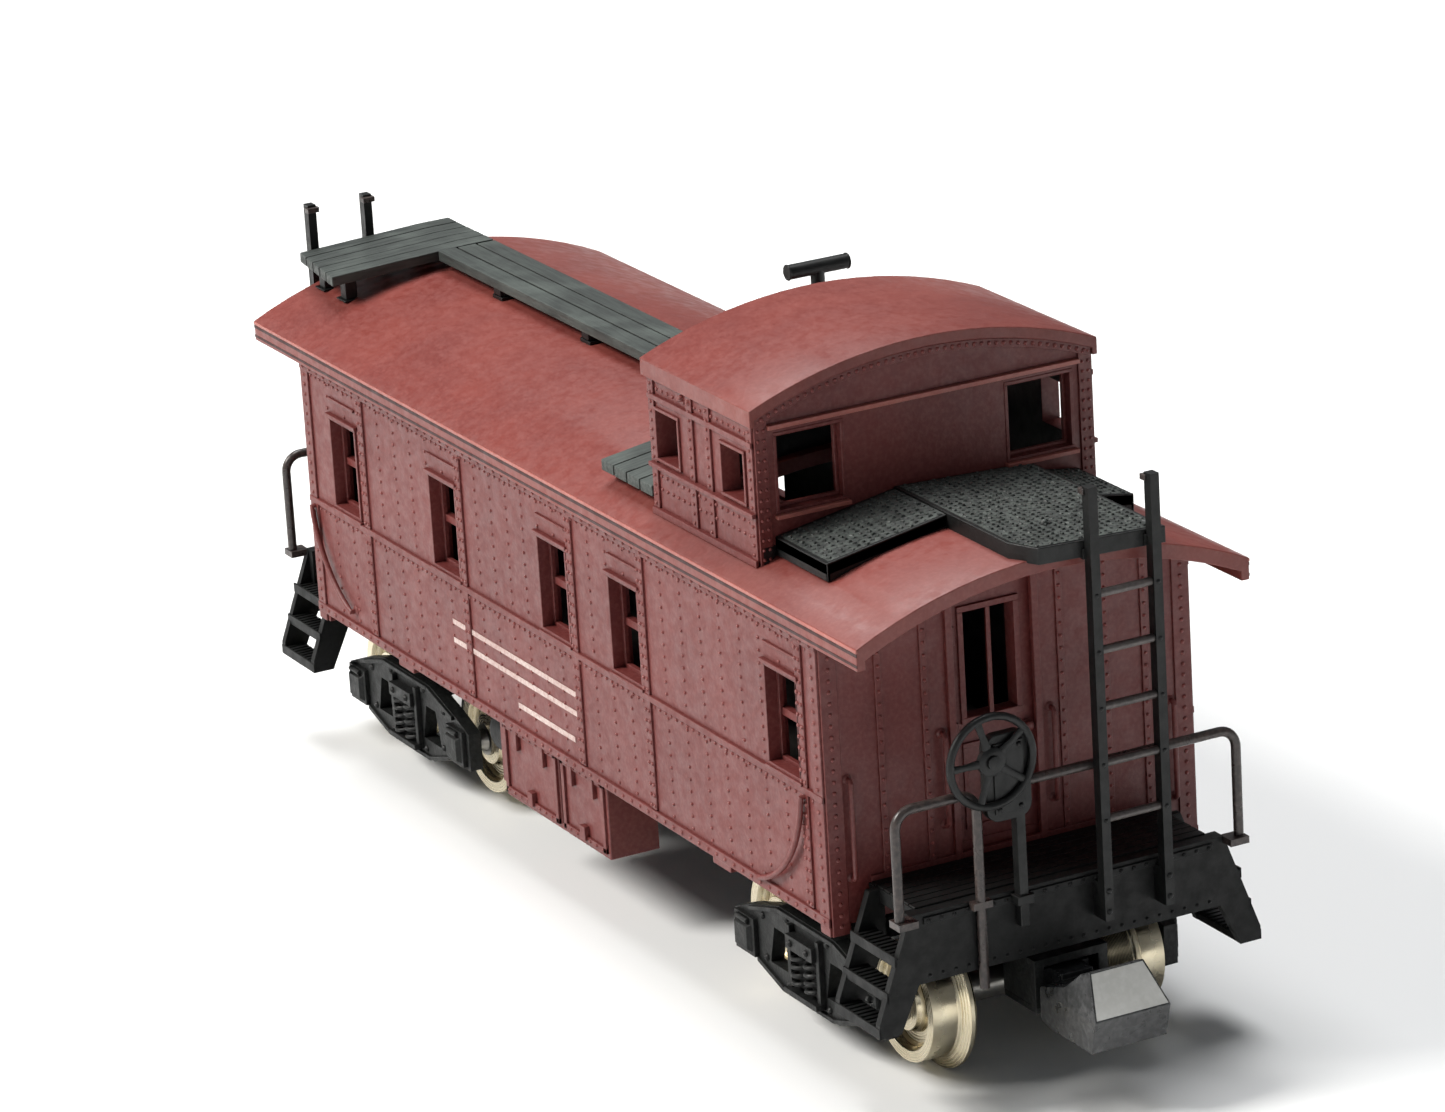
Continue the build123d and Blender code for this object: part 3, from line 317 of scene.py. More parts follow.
class Look:
    """A node material in the making, patterned in object space."""

    def __init__(self, name):
        self.material = bpy.data.materials.new(name)
        self.material.use_nodes = True
        self.tree = self.material.node_tree
        self.shader = self.tree.nodes["Principled BSDF"]
        self.coords = self.node("TexCoord").outputs["Object"]

    def feed(self, node, inputs):
        """Give each named input a plain value or another node's output."""
        for name, value in inputs.items():
            if isinstance(value, bpy.types.NodeSocket):
                self.tree.links.new(value, node.inputs[name])
            else:
                node.inputs[name].default_value = value

    def node(self, kind, inputs=None, **settings):
        """New shader node with its settings and inputs."""
        node = self.tree.nodes.new("ShaderNode" + kind)
        for name, value in settings.items():
            setattr(node, name, value)
        self.feed(node, inputs or {})
        return node

    def noise(self, scale, detail=3.0, coords=None):
        """Noise; scale is in features per metre."""
        inputs = {"Vector": coords or self.coords, "Scale": scale, "Detail": detail}
        return self.node("TexNoise", inputs).outputs["Fac"]

    def stretched(self, scale):
        """Coordinates scaled unevenly, for grain that runs one way."""
        return self.node("Mapping", {"Vector": self.coords, "Scale": scale}).outputs["Vector"]

    def spread(self, value, low=0.0, high=1.0, start=0.35, end=0.65):
        """A value mapped from the band start to end onto the range low to high."""
        inputs = {"Value": value, "From Min": start, "From Max": end, "To Min": low, "To Max": high}
        return self.node("MapRange", inputs).outputs["Result"]

    def mix(self, share, first, second):
        """Mix of two colours, each a colour or another node's output."""
        inputs = {"Factor": share, "A": first, "B": second}
        return self.node("Mix", inputs, data_type="RGBA").outputs["Result"]

    def inside(self, half_x, half_y, z_range, centre_x=0.0):
        """1 within a box given in millimetres, 0 outside it."""
        parts = self.node("SeparateXYZ", {"Vector": self.coords}).outputs
        spans = (("X", centre_x, half_x), ("Y", 0.0, half_y),
                 ("Z", sum(z_range) / 2, (z_range[1] - z_range[0]) / 2))
        near = [self.node("Math", {0: parts[axis], 1: middle * MM, 2: half * MM}, operation="COMPARE")
                for axis, middle, half in spans]
        share = near[0]
        for other in near[1:]:
            values = {0: share.outputs["Value"], 1: other.outputs["Value"]}
            share = self.node("Math", values, operation="MULTIPLY")
        return share.outputs["Value"]

    def painted_crevice_shade(self, colour, crevice_shade, reach, strength):
        """The colour, darkened towards a shade colour where surfaces meet and shade falls: painted shade."""
        light = self.node("AmbientOcclusion", {"Distance": reach * MM}, samples=6).outputs["AO"]
        return self.mix(self.spread(light, strength, 0.0, 0.35, 0.95), colour, crevice_shade)

    def finish(self, colour, roughness, heights, depth):
        """The material, with relief from a height value; depth is in millimetres."""
        bump = self.node("Bump", {"Distance": depth * MM, "Height": heights})
        relief = bump.outputs["Normal"]
        self.feed(self.shader, {"Base Color": colour, "Roughness": roughness, "Normal": relief})
        return self.material


BODY_RED = srgb(100, 40, 37)
DEEP_RED = srgb(48, 12, 11)
NEAR_BLACK = srgb(8, 8, 8)
# Reach and strength of a light painted shade in the corners.
LIGHT_PAINTED_SHADE = (0.2, 0.2)


def plastic(name, colour, shade, dust, gloss, crevice_shade=NEAR_BLACK, grain=5200, relief=0.012, dusting=0.25,
            specular=0.5, painted_shade=(0.45, 0.75), shade_boxes=()):
    """Moulded and painted plastic: broad tone changes, fine speckle, and painted shade darkening the corners.

    The painted shade in the corners is given by its reach and strength.  Inside the boxes given for the
    hollows, the colour is painted near black as shade.
    """
    look = Look(name)
    fine = look.noise(grain, 4.0)
    tone = look.mix(look.spread(look.noise(260)), srgb(*colour), srgb(*shade))
    speckled = look.mix(look.spread(fine, 0.0, dusting, 0.42, 0.72), tone, srgb(*dust))
    # Painted shade: darker where surfaces meet.
    finished = look.painted_crevice_shade(speckled, crevice_shade, *painted_shade)
    # Painted shade: inside each box the colour is painted near black.
    for shade_box in shade_boxes:
        finished = look.mix(look.inside(*shade_box), finished, NEAR_BLACK)
    look.feed(look.shader, {"Specular IOR Level": specular})
    roughness = look.spread(look.noise(grain / 3), gloss - 0.07, gloss + 0.1)
    return look.finish(finished, roughness, fine, relief)


def board(name, grain_scale):
    """Walkway board: grain running one way under thin dark paint."""
    look = Look(name)
    grain = look.noise(1.0, 5.0, look.stretched(grain_scale))
    tone = look.mix(look.spread(grain), srgb(56, 62, 59), srgb(38, 43, 41))
    worn = look.mix(look.spread(look.noise(420), 0.0, 0.45, 0.45, 0.75), tone, srgb(92, 100, 95))
    # Painted shade: darker where surfaces meet.
    finished = look.painted_crevice_shade(worn, srgb(12, 14, 14), 0.4, 0.8)
    return look.finish(finished, look.spread(grain, 0.5, 0.72), grain, 0.04)


def metal(name, colour, shade, roughness, rings=False):
    """Bare metal with fine turning marks or fine scratches."""
    look = Look(name)
    if rings:
        generated = look.node("TexCoord").outputs["Generated"]
        centred = look.node("Mapping", {"Vector": generated, "Location": (-0.5, -0.5, -0.5)})
        wave = {"Vector": centred.outputs["Vector"], "Scale": 16, "Distortion": 0.6}
        marks = look.node("TexWave", wave, wave_type="RINGS", rings_direction="Y").outputs["Fac"]
    else:
        marks = look.noise(1.0, 4.0, look.stretched((900, 6000, 6000)))
    tone = look.mix(look.spread(look.noise(700)), srgb(*colour), srgb(*shade))
    look.feed(look.shader, {"Metallic": 1.0})
    # Painted shade: darker where surfaces meet.
    return look.finish(look.painted_crevice_shade(tone, srgb(60, 52, 40), 0.5, 0.6),
                       look.spread(marks, roughness, roughness + 0.14, 0.2, 0.8), marks, 0.006)


# Insides of the body and of the cupola, painted near black as shade: half length, half width, z range, and
# the place along x.
SHADE_BOXES = ((24.12, 7.92, (7.25, 22.0)), (3.82, 7.27, (21.5, 29.3), 14.5))

red = plastic("body_red", (100, 40, 37), (91, 35, 33), (140, 84, 79), 0.47, DEEP_RED, painted_shade=(0.2, 0.15),
              shade_boxes=SHADE_BOXES)
# Lighter copy of the body red for rivets: painted highlight where they catch the light.
rivet_highlight_red = plastic("rivet_highlight_red", (122, 58, 54), (108, 48, 45), (150, 92, 86), 0.42, BODY_RED,
                    painted_shade=LIGHT_PAINTED_SHADE)
# Roof red is a lighter copy of the body red: painted highlight of the light falling on the top.
roof_red = plastic("roof_red", (116, 52, 45), (106, 46, 41), (142, 84, 77), 0.44, DEEP_RED, relief=0.006,
                   painted_shade=(0.25, 0.35))
# Dark red for strips that stand for the shade in grooves: painted shadow.
groove_shadow_red = plastic("groove_shadow_red", (52, 17, 15), (44, 14, 13), (70, 30, 27), 0.6, DEEP_RED)
# Lighter copy of the body red for lit edges and mouldings: painted highlight.
highlight_red = plastic("highlight_red", (160, 92, 82), (146, 80, 72), (182, 120, 110), 0.4, BODY_RED,
                   painted_shade=LIGHT_PAINTED_SHADE)
black = plastic("black_plastic", (13, 14, 14), (10, 11, 11), (38, 41, 40), 0.45, dusting=0.2, specular=0.35)
frame_black = plastic("underframe_black", (12, 13, 13), (9, 10, 10), (32, 34, 34), 0.55, specular=0.3)
rail_brown = plastic("rail_plastic", (52, 44, 42), (40, 35, 34), (120, 104, 98), 0.33)
# Light grey for the rungs of the black ladder: painted highlight.
rung_grey = plastic("rung_plastic", (78, 72, 70), (62, 57, 56), (130, 120, 114), 0.35)
truck_black = plastic("truck_black", (14, 15, 15), (11, 12, 12), (44, 48, 46), 0.5, relief=0.03, dusting=0.4,
                      specular=0.35)
# The coupler is grey, lighter than the other black plastics: painted light on its lit faces.
coupler_grey = plastic("coupler_plastic", (52, 53, 54), (38, 39, 40), (120, 121, 122), 0.3, grain=3800,
                       relief=0.02)
# Near white for the coupler's sloping face: painted reflection.
coupler_reflection = plastic("coupler_reflection", (196, 196, 192), (176, 176, 172), (214, 214, 212), 0.35,
                       srgb(120, 120, 118), grain=3800, relief=0.01)
marking_white = plastic("marking_paint", (196, 180, 174), (176, 152, 146), (140, 84, 78), 0.55,
                        srgb(120, 66, 60), dusting=0.6)
walk_long = board("walk_lengthwise", (500, 5200, 5200))
walk_across = board("walk_crosswise", (5200, 500, 5200))
grating = plastic("walk_grating", (46, 50, 48), (34, 37, 36), (98, 106, 100), 0.5, grain=4200, relief=0.03,
                  dusting=0.45)
nickel = metal("wheel_nickel", (222, 212, 186), (206, 194, 166), 0.2, rings=True)
steel = metal("turned_steel", (168, 166, 160), (140, 138, 134), 0.28)
weight_steel = metal("ballast_steel", (120, 118, 114), (96, 92, 88), 0.42)


# ---- CAD nodes that stay
# Material of each node, and the width of its rounded edges where it has them.
CAD_LOOKS = {
    "body_shell": (red, 0.05), "cupola_walls": (red, 0.05),
    "battery_box_left": (red, 0.08), "battery_box_right": (red, 0.08),
    "main_roof": (roof_red, 0.05), "cupola_roof": (roof_red, 0.05),
    "smokejack": (black, 0), "underframe": (frame_black, 0.05),
    "air_reservoir": (frame_black, 0), "brake_cylinder": (frame_black, 0),
    "ballast_weight": (weight_steel, 0), "floor_screws": (steel, 0)}
END_LOOKS = {
    "end_platform": (frame_black, 0.05), "ladder": (black, 0.07), "brake_stand": (black, 0.05),
    "end_railing": (rail_brown, 0), "truck_frame": (truck_black, 0.06), "coupler_cover": (truck_black, 0.05),
    "truck_pin": (steel, 0), "coupler": (coupler_grey, 0.08), "coupler_spring": (steel, 0)}
for end in ("a", "b"):
    CAD_LOOKS.update({f"{stem}_{end}": look for stem, look in END_LOOKS.items()})
    for number in (1, 2):
        CAD_LOOKS[f"wheels_{end}{number}"] = (nickel, 0)
        CAD_LOOKS[f"axle_{end}{number}"] = (steel, 0)


def soften(node, width):
    """Joins the CAD mesh's triangles into whole faces, then rounds its sharp edges."""
    weld = node.modifiers.new("weld", "WELD")
    weld.merge_threshold = 0.001 * MM
    faces = node.modifiers.new("faces", "DECIMATE")
    faces.decimate_type = "DISSOLVE"
    faces.angle_limit = radians(0.5)
    round_edges(node, width)


for name, (look, edge) in CAD_LOOKS.items():
    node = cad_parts[name]
    node.data.materials.clear()
    node.data.materials.append(look)
    if edge:
        soften(node, edge)


# ---- sides
def near_window(place):
    """True if a point of the side lies on a window or its frame."""
    rim = 0.45
    beside = any(abs(place.x - x) < WINDOW_SIZE[0] / 2 + rim for x in WINDOW_X)
    return beside and abs(place.z - WINDOW_Z) < WINDOW_SIZE[1] / 2 + rim


def off_belt(place, clearance=0.25):
    """True if a point of the side is clear of the belt strap."""
    return abs(place.z - sum(BELT_Z) / 2) > clearance


def dress_side(label, side):
    """Straps, rivets, window frames and grab irons of one side. side is -1 on the right, +1 on the left."""
    face = side * body_hi.y
    proud = face + side * STRAP
    depth = skin(face, STRAP, side)
    normal = (0, side, 0)
    top_z = roof_lo.z - 0.05
    strap_half = 0.28
    rail = 0.14
    end_x = body_hi.x

    straps = Piece(f"side_straps_{label}")
    for x in SEAM_X:
        straps.block(about(x, strap_half), depth, (SIDE_SILL + 0.45, top_z - 0.35))
    for end in (-1, 1):
        straps.block((end * (end_x - CORNER), end * end_x), depth, (body_lo.z, top_z - 0.35))
    for z in (BELT_Z, (SIDE_SILL - 0.02, SIDE_SILL + 0.42), (top_z - 0.38, top_z)):
        straps.block((-end_x, end_x), skin(face, rail, side), z)
    # Lugs that hang below the sill between the trucks and the battery box.
    for x in (-15.5, 15.5):
        straps.block(about(x, 0.8), skin(face, 0.06, side, 0.7), (SIDE_SILL - 0.35, SIDE_SILL))
    straps.finish(red, "red_plastic", edge=0.035)

    rivets = Piece(f"side_rivets_{label}")
    low, high = SIDE_SILL + 0.62, top_z - 0.62
    for x in SEAM_X:
        for shift in (-0.15, 0.15):
            rivets.rivets((x + shift, proud, low), (x + shift, proud, high), normal, 0.48, off_belt)
    for end in (-1, 1):
        x = end * (end_x - CORNER / 2)
        rivets.rivets((x, proud, low), (x, proud, high), normal, 0.48, off_belt)
    bays = [-end_x + CORNER, *SEAM_X, end_x - CORNER]
    for left, right in zip(bays, bays[1:]):
        columns = max(1, round((right - left) / 1.68))
        for i in range(1, columns):
            x = left + (right - left) * i / columns
            rivets.rivets((x, face, low), (x, face, high), normal, 0.56,
                          lambda place: not near_window(place) and off_belt(place, 0.3), SMALL_RIVET)
    for z in (BELT_Z[0] - 0.2, high + 0.1):
        rivets.rivets((-end_x + 1, face, z), (end_x - 1, face, z), normal, 0.5,
                      lambda place: not near_window(place), SMALL_RIVET)
    for z in (SIDE_SILL + 0.2, top_z - 0.19):
        start, stop = ((x, face + side * rail, z) for x in (-end_x + 0.4, end_x - 0.4))
        rivets.rivets(start, stop, normal, 0.78)
    rivets.finish(rivet_highlight_red, "red_plastic")

    frames = Piece(f"window_frames_{label}")
    half_w, half_h = WINDOW_SIZE[0] / 2, WINDOW_SIZE[1] / 2
    sash = (WINDOW_SIZE[0] - 0.36, WINDOW_SIZE[1] - 0.36)
    # Header, sill and the drip strip above them: overhang, thickness, and z range from the middle.
    bars = ((0.3, 0.2, half_h + 0.14, half_h + 0.3), (0.25, 0.2, -half_h - 0.28, -half_h - 0.14),
            (0.1, 0.1, half_h + 0.95, half_h + 1.1))
    for x in WINDOW_X:
        window_ring(frames, x, WINDOW_Z, WINDOW_SIZE, face, side, 0.16, 0.1, "x")
        for over, thick, low, high in bars:
            frames.block((x - half_w - over, x + half_w + over), (face, face + side * thick),
                         (WINDOW_Z + low, WINDOW_Z + high))
        # Sash stiles and rails behind the opening.
        window_ring(frames, x, WINDOW_Z, sash, face - side * 0.62, side, 0.2, 0.18, "x")
    frames.finish(red, "red_plastic", edge=0.03)

    grabs = Piece(f"side_grabs_{label}")
    stand = face + side * 0.27
    root = Vector((0, side * 0.4, 0))
    for points in (
            arc_through((end_x - 1.6, 12.6), (end_x - 2.75, 9.75), (end_x - 5.8, 7.75)),
            arc_through((0.5 - end_x, 12.6), (1.45 - end_x, 10.4), (4.1 - end_x, 8.3))):
        line = [Vector((x, stand, z)) for x, z in points]
        grabs.tube([line[0] - root, *line, line[-1] - root], 0.13)
        for foot in (line[0], line[-1]):
            grabs.dome((foot.x, face, foot.z), normal, 0.26, 0.1, 12)
    grabs.finish(red, "red_plastic")

    marks = Piece(f"side_marks_{label}")
    for x_range, z_range in (
            ((-10.0, 3.0), (10.75, 11.0)), ((-10.0, 3.0), (9.85, 10.1)), ((-3.6, 2.0), (8.55, 8.8))):
        marks.block([-side * x for x in x_range], skin(face, 0.03, side, 0.02), z_range)
    marks.finish(marking_white, "red_plastic")


for label, side in SIDES:
    dress_side(label, side)


# ---- eaves
def dress_eaves():
    """Moulding along each eave: an edge strip painted light as a highlight, and a band between two dark
    strips painted as the shadow lines of grooves.
    """
    shadow_lines = Piece("eave_shadow_lines")
    edges = Piece("eave_edges")
    edge_z = roof_top(roof_hi.y)
    for side in (-1, 1):
        face = side * roof_hi.y
        depth = skin(face, 0.012, side, 0.1)
        # Painted shadow: two dark strips where grooves would be.
        for z in ((roof_lo.z + 0.16, roof_lo.z + 0.28), (edge_z - 0.34, edge_z - 0.2)):
            shadow_lines.block((roof_lo.x + 0.01, roof_hi.x - 0.01), depth, z)
        # Painted highlight: the edge strip is a lighter red.
        edges.block((roof_lo.x, roof_hi.x), skin(face, 0.03, side, 0.1), (edge_z - 0.17, edge_z - 0.03))
    shadow_lines.finish(groove_shadow_red, "roof_red")
    edges.finish(highlight_red, "roof_red", edge=0.02)


dress_eaves()


# ---- end walls and doors
def dress_end(end, turn):
    """Corner angles, sheathing straps, door and grab irons of one end wall."""
    face = body_hi.x
    half_y = body_hi.y
    normal = (1, 0, 0)
    wall_top = roof_lo.z + 0.4
    depth = skin(face, STRAP)

    trim = Piece(f"end_trim_{end}")
    for side in (-1, 1):
        trim.block(depth, (side * (half_y - CORNER), side * half_y), (body_lo.z, wall_top))
    strap_y = (-6.1, -3.95, 2.55, 4.7, 6.6)
    for y in strap_y:
        trim.block(depth, about(y, 0.16), (DECK_TOP + 0.05, wall_top + 0.6))
    trim.arch(skin(face, 0.16), half_y, lambda y: roof_top(y) - ROOF_THICKNESS - 0.02, 0.42)
    trim.block(skin(face, 0.16), (-6.9, 6.9), (DECK_TOP + 0.02, DECK_TOP + 0.3))
    # Door jambs and header.
    half_door = DOOR_WIDTH / 2
    for y in about(DOOR_Y, half_door):
        trim.block(skin(face, 0.2), about(y, 0.16), DOOR_Z)
    trim.block(skin(face, 0.2), (DOOR_Y - half_door - 0.3, DOOR_Y + half_door + 0.3),
               (DOOR_Z[1] - 0.1, DOOR_Z[1] + 0.25))
    trim.finish(red, "red_plastic", edge=0.03, turn=turn)

    rivets = Piece(f"end_rivets_{end}")
    proud = face + STRAP
    for side in (-1, 1):
        y = side * (half_y - CORNER / 2)
        rivets.rivets((proud, y, SIDE_SILL), (proud, y, wall_top - 0.2), normal, 0.48)
    for y in strap_y:
        rivets.rivets((proud, y, DECK_TOP + 0.5), (proud, y, wall_top + 0.2), normal, 0.55, radius=0.08)
    steps = 19
    for i in range(2 * steps + 1):
        y = (half_y - 0.4) * (i / steps - 1)
        rivets.dome((face + 0.16, y, roof_top(y) - ROOF_THICKNESS - 0.23), normal, SMALL_RIVET)
    rivets.finish(rivet_highlight_red, "red_plastic", turn=turn)

    door = Piece(f"door_leaf_{end}")
    leaf = face - DOOR_RECESS
    window_ring(door, DOOR_Y, DOOR_WINDOW_Z, DOOR_WINDOW, leaf, 1, 0.26, 0.12, "y")
    window_ring(door, DOOR_Y, 11.9, (2.5, 3.4), leaf, 1, 0.2, 0.1, "y")
    door.block((leaf - 0.05, leaf + 0.07), about(DOOR_Y, 1.8), (DOOR_Z[0], DOOR_Z[0] + 0.7))
    door.block((leaf - 0.05, leaf + 0.1), about(DOOR_Y, 0.1), (14.9, 19.5))
    for z in (10.2, 14.4, 18.6):
        door.lathe((leaf + 0.12, DOOR_Y - half_door + 0.28, z - 0.4), (0, 0, 1), ((0, 0.13), (0.8, 0.13)), 10)
    door.lathe((leaf, DOOR_Y + 1.62, 14.0), normal,
               ((0, 0.24), (0.06, 0.24), (0.08, 0.1), (0.2, 0.1), (0.24, 0.2), (0.36, 0.2), (0.42, 0.1)), 14)
    door.finish(red, "red_plastic", edge=0.025, turn=turn)

    grabs = Piece(f"end_grabs_{end}")
    stand = face + 0.34
    for y, low, high in ((-7.75, 9.3, 13.6), (7.75, 9.3, 13.6), (-3.25, 10.6, 14.6), (1.95, 10.6, 14.6)):
        grabs.tube([(face, y, high), (stand - 0.1, y, high), (stand, y, high - 0.1), (stand, y, low + 0.1),
                    (stand - 0.1, y, low), (face, y, low)], 0.12)
        for z in (low, high):
            grabs.dome((face, y, z), normal, 0.22, 0.1, 10)
    grabs.finish(red, "red_plastic", turn=turn)


# ---- cupola
def cupola_end(label, turn):
    """Posts, mouldings, window frames and rivets of one cupola end, drawn for the +X one."""
    face = cupola_hi.x
    half_y = cupola_hi.y
    normal = (1, 0, 0)
    depth = skin(face, STRAP)
    post_low = roof_top(half_y) - 0.05
    post_high = cupola_top(half_y) - 0.55
    sash = [length - 0.3 for length in CUPOLA_END_WINDOW_SIZE]

    trim = Piece(f"cupola_end_trim_{label}")
    # The sill and moulding strips take the lighter red as a painted highlight.
    strips = Piece(f"cupola_end_strips_{label}")
    for side in (-1, 1):
        trim.block(depth, (side * (half_y - 0.62), side * half_y), (post_low, post_high))
        strips.block(skin(face, 0.28), (side * 3.75, side * 7.25), (23.12, 23.3))
    strips.block(skin(face, 0.24), (0.6 - half_y, half_y - 0.6), (27.0, 27.2))
    strips.finish(highlight_red, "red_plastic", edge=0.03, turn=turn)
    trim.arch(skin(face, 0.14), half_y - 0.02, lambda y: cupola_top(y) - 0.52, 0.4)
    for y in CUPOLA_END_WINDOW_Y:
        window_ring(trim, y, CUPOLA_END_WINDOW_Z, CUPOLA_END_WINDOW_SIZE, face, 1, 0.16, 0.04, "y")
        window_ring(trim, y, CUPOLA_END_WINDOW_Z, sash, face - 0.5, 1, 0.16, 0.16, "y")
    trim.finish(red, "red_plastic", edge=0.03, turn=turn)

    rivets = Piece(f"cupola_end_rivets_{label}")
    for side in (-1, 1):
        y = side * (half_y - 0.3)
        for shift in (-0.14, 0.14):
            start, stop = ((face + STRAP, y + shift, z) for z in (post_low + 0.3, post_high - 0.1))
            rivets.rivets(start, stop, normal, 0.42, radius=0.08)
    steps = 22
    for i in range(2 * steps + 1):
        y = (half_y - 0.35) * (i / steps - 1)
        rivets.dome((face + 0.14, y, cupola_top(y) - 0.72), normal, 0.1)
    for z in (22.62, 21.9):
        rivets.rivets((face, -5.5, z), (face, 5.5, z), normal, 0.5,
                      lambda place: place.z > roof_top(place.y) + 0.15, 0.08)
    rivets.finish(rivet_highlight_red, "red_plastic", turn=turn)


def cupola_side(label, side):
    """Posts, sills, window frames and rivets of one cupola side."""
    face = side * cupola_hi.y
    depth = skin(face, STRAP, side)
    normal = (0, side, 0)
    low = roof_top(face) - 0.05
    high = cupola_top(face) - 0.62
    x0, x1 = cupola_lo.x, cupola_hi.x

    trim = Piece(f"cupola_side_trim_{label}")
    for x in ((x0, x0 + 0.5), (x1 - 0.5, x1), (13.35, 13.85), (14.9, 15.4)):
        trim.block(x, depth, (low, high))
    for proud, z in ((0.26, (23.3, 23.5)), (0.16, (26.3, 26.55)), (0.2, (low, low + 0.3))):
        trim.block((x0, x1), skin(face, proud, side), z)
    for x in CUPOLA_WINDOW_X:
        window_ring(trim, x, CUPOLA_WINDOW_Z, CUPOLA_WINDOW_SIZE, face, side, 0.15, 0.1, "x")
    trim.finish(red, "red_plastic", edge=0.03)

    rivets = Piece(f"cupola_side_rivets_{label}")
    proud = face + side * STRAP
    for x in (x0 + 0.25, 13.6, 15.15, x1 - 0.25):
        rivets.rivets((x, proud, low + 0.5), (x, proud, high - 0.1), normal, 0.42, radius=0.08)
    for z in (22.95, 22.35, 26.8):
        rivets.rivets((x0 + 0.7, face, z), (x1 - 0.7, face, z), normal, 0.48, radius=SMALL_RIVET)
    for x in (12.9, 13.6):
        rivets.dome((x, face, 26.95), normal, 0.16, 0.22, 10)
    rivets.finish(rivet_highlight_red, "red_plastic")


for label, side in SIDES:
    cupola_side(label, side)
cupola_centre = Matrix.Translation(((cupola_lo.x + cupola_hi.x) / 2, 0, 0))
cupola_end("front", None)
cupola_end("rear", cupola_centre @ HALF_TURN @ cupola_centre.inverted())


# ---- running boards
BOARD = 0.5
LEG_HALF = 0.3


def legs(piece, places, top_at):
    """Short posts with a foot, standing on the roof."""
    for x, y in places:
        foot = roof_top(y) - 0.06
        piece.block(about(x, LEG_HALF), about(y, LEG_HALF), (foot, top_at(y)))
        piece.block(about(x, 0.5), about(y, 0.45), (foot, roof_top(abs(y) + 0.45) + 0.16))


def ridge_walk():
    """Three lengthwise planks on cleats, and five planks across to the ladder at end b."""
    top = walk_hi.z
    planks = Piece("ridge_walk_planks")
    half = 1.5
    gap = 0.1
    width = (2 * half - 2 * gap) / 3
    for i in range(3):
        y = -half + i * (width + gap)
        drop = random.uniform(0, 0.03)
        start = walk_lo.x + 5.1 + random.uniform(0, 0.05)
        planks.block((start, walk_hi.x), (y, y + width), (top - BOARD, top - drop))
    planks.finish(walk_long, "walk_plastic", edge=0.05, replaces=("roofwalk_main",))

    landing = Piece("ridge_walk_landing")
    depth = 5.0
    count = 5
    far_y = walk_lo.y
    fall = 0.3
    for i in range(count):
        x0 = walk_lo.x + depth * i / count + 0.04
        x1 = walk_lo.x + depth * (i + 1) / count - 0.04
        drop = random.uniform(0, 0.03)
        ends = []
        for x in (x0, x1):
            tip_y = far_y + 0.6 * (1 - (x - walk_lo.x) / depth)
            ends.append([(x, half, top - drop), (x, 0, top - drop), (x, tip_y, top - fall - drop),
                         (x, tip_y, top - fall - BOARD), (x, 0, top - BOARD), (x, half, top - BOARD)])
        landing.solid(ends)
    landing.finish(walk_across, "walk_plastic", edge=0.05)

    under = Piece("ridge_walk_cleats")
    cleats = (-28.0, -18.5, -9.5, -1.0, 7.5)
    for x in cleats:
        under.block(about(x, 0.35), (-half + 0.05, half - 0.05), (top - BOARD - 0.3, top - BOARD))
    legs(under, [(x, y) for x in cleats[:-1] for y in (-1, 1)], lambda y: top - BOARD)
    legs(under, [(x, 1.2 + far_y) for x in (-28.0, -25.6)], lambda y: top - fall - BOARD)
    under.finish(black, "walk_plastic", edge=0.03)


def board_height(span):
    """Height of a side-to-side board as a function of y: level in the middle, falling towards both eaves."""
    mid, tip, level = front_hi.z, 22.35, 1.0
    return lambda y: mid - (mid - tip) * max(0.0, abs(y) - level) / (span - level)


def pebbles(piece, x, y, height_at, pitch=0.33, keep=lambda x, y: True):
    """Anti-slip pattern: small raised studs of uneven size, left out where keep says so."""
    columns = int((x[1] - x[0]) / pitch)
    rows = int((y[1] - y[0]) / pitch)
    for i in range(columns):
        for j in range(rows):
            cx = x[0] + (i + 0.25 + 0.5 * (j % 2)) * (x[1] - x[0]) / columns + random.uniform(-0.03, 0.03)
            cy = y[0] + (j + 0.5) * (y[1] - y[0]) / rows + random.uniform(-0.03, 0.03)
            half = random.uniform(0.09, 0.14)
            rise = random.uniform(0.05, 0.11)
            if not keep(cx, cy):
                continue
            base = height_at(cy)
            turn = random.uniform(0, pi / 2)
            rings = []
            for share, lift in ((1.0, -0.04), (0.95, 0.02), (0.55, rise)):
                rings.append([(cx + half * share * cos(turn + t), cy + half * share * sin(turn + t),
                               base + lift) for t in circle(4)])
            piece.solid(rings)


def lateral_board(piece, x, y_range, lip, height_at):
    """Board across the roof between two y places, with a deeper lip along its outer edges."""
    ys = sorted({y_range[0], y_range[1], *[y for y in (-1.0, 1.0) if y_range[0] < y < y_range[1]]})
    top = [(x[0], y, height_at(y)) for y in ys]
    under = [(x[0], y, height_at(y) - BOARD) for y in reversed(ys)]
    piece.prism(top + under, (x[1] - x[0], 0, 0))
    for lip_x in lip:
        deep = [(lip_x, y, height_at(y) - 0.78) for y in reversed(ys)]
        piece.prism([(lip_x, y, z + 0.03) for _, y, z in top] + deep, (0.16, 0, 0))


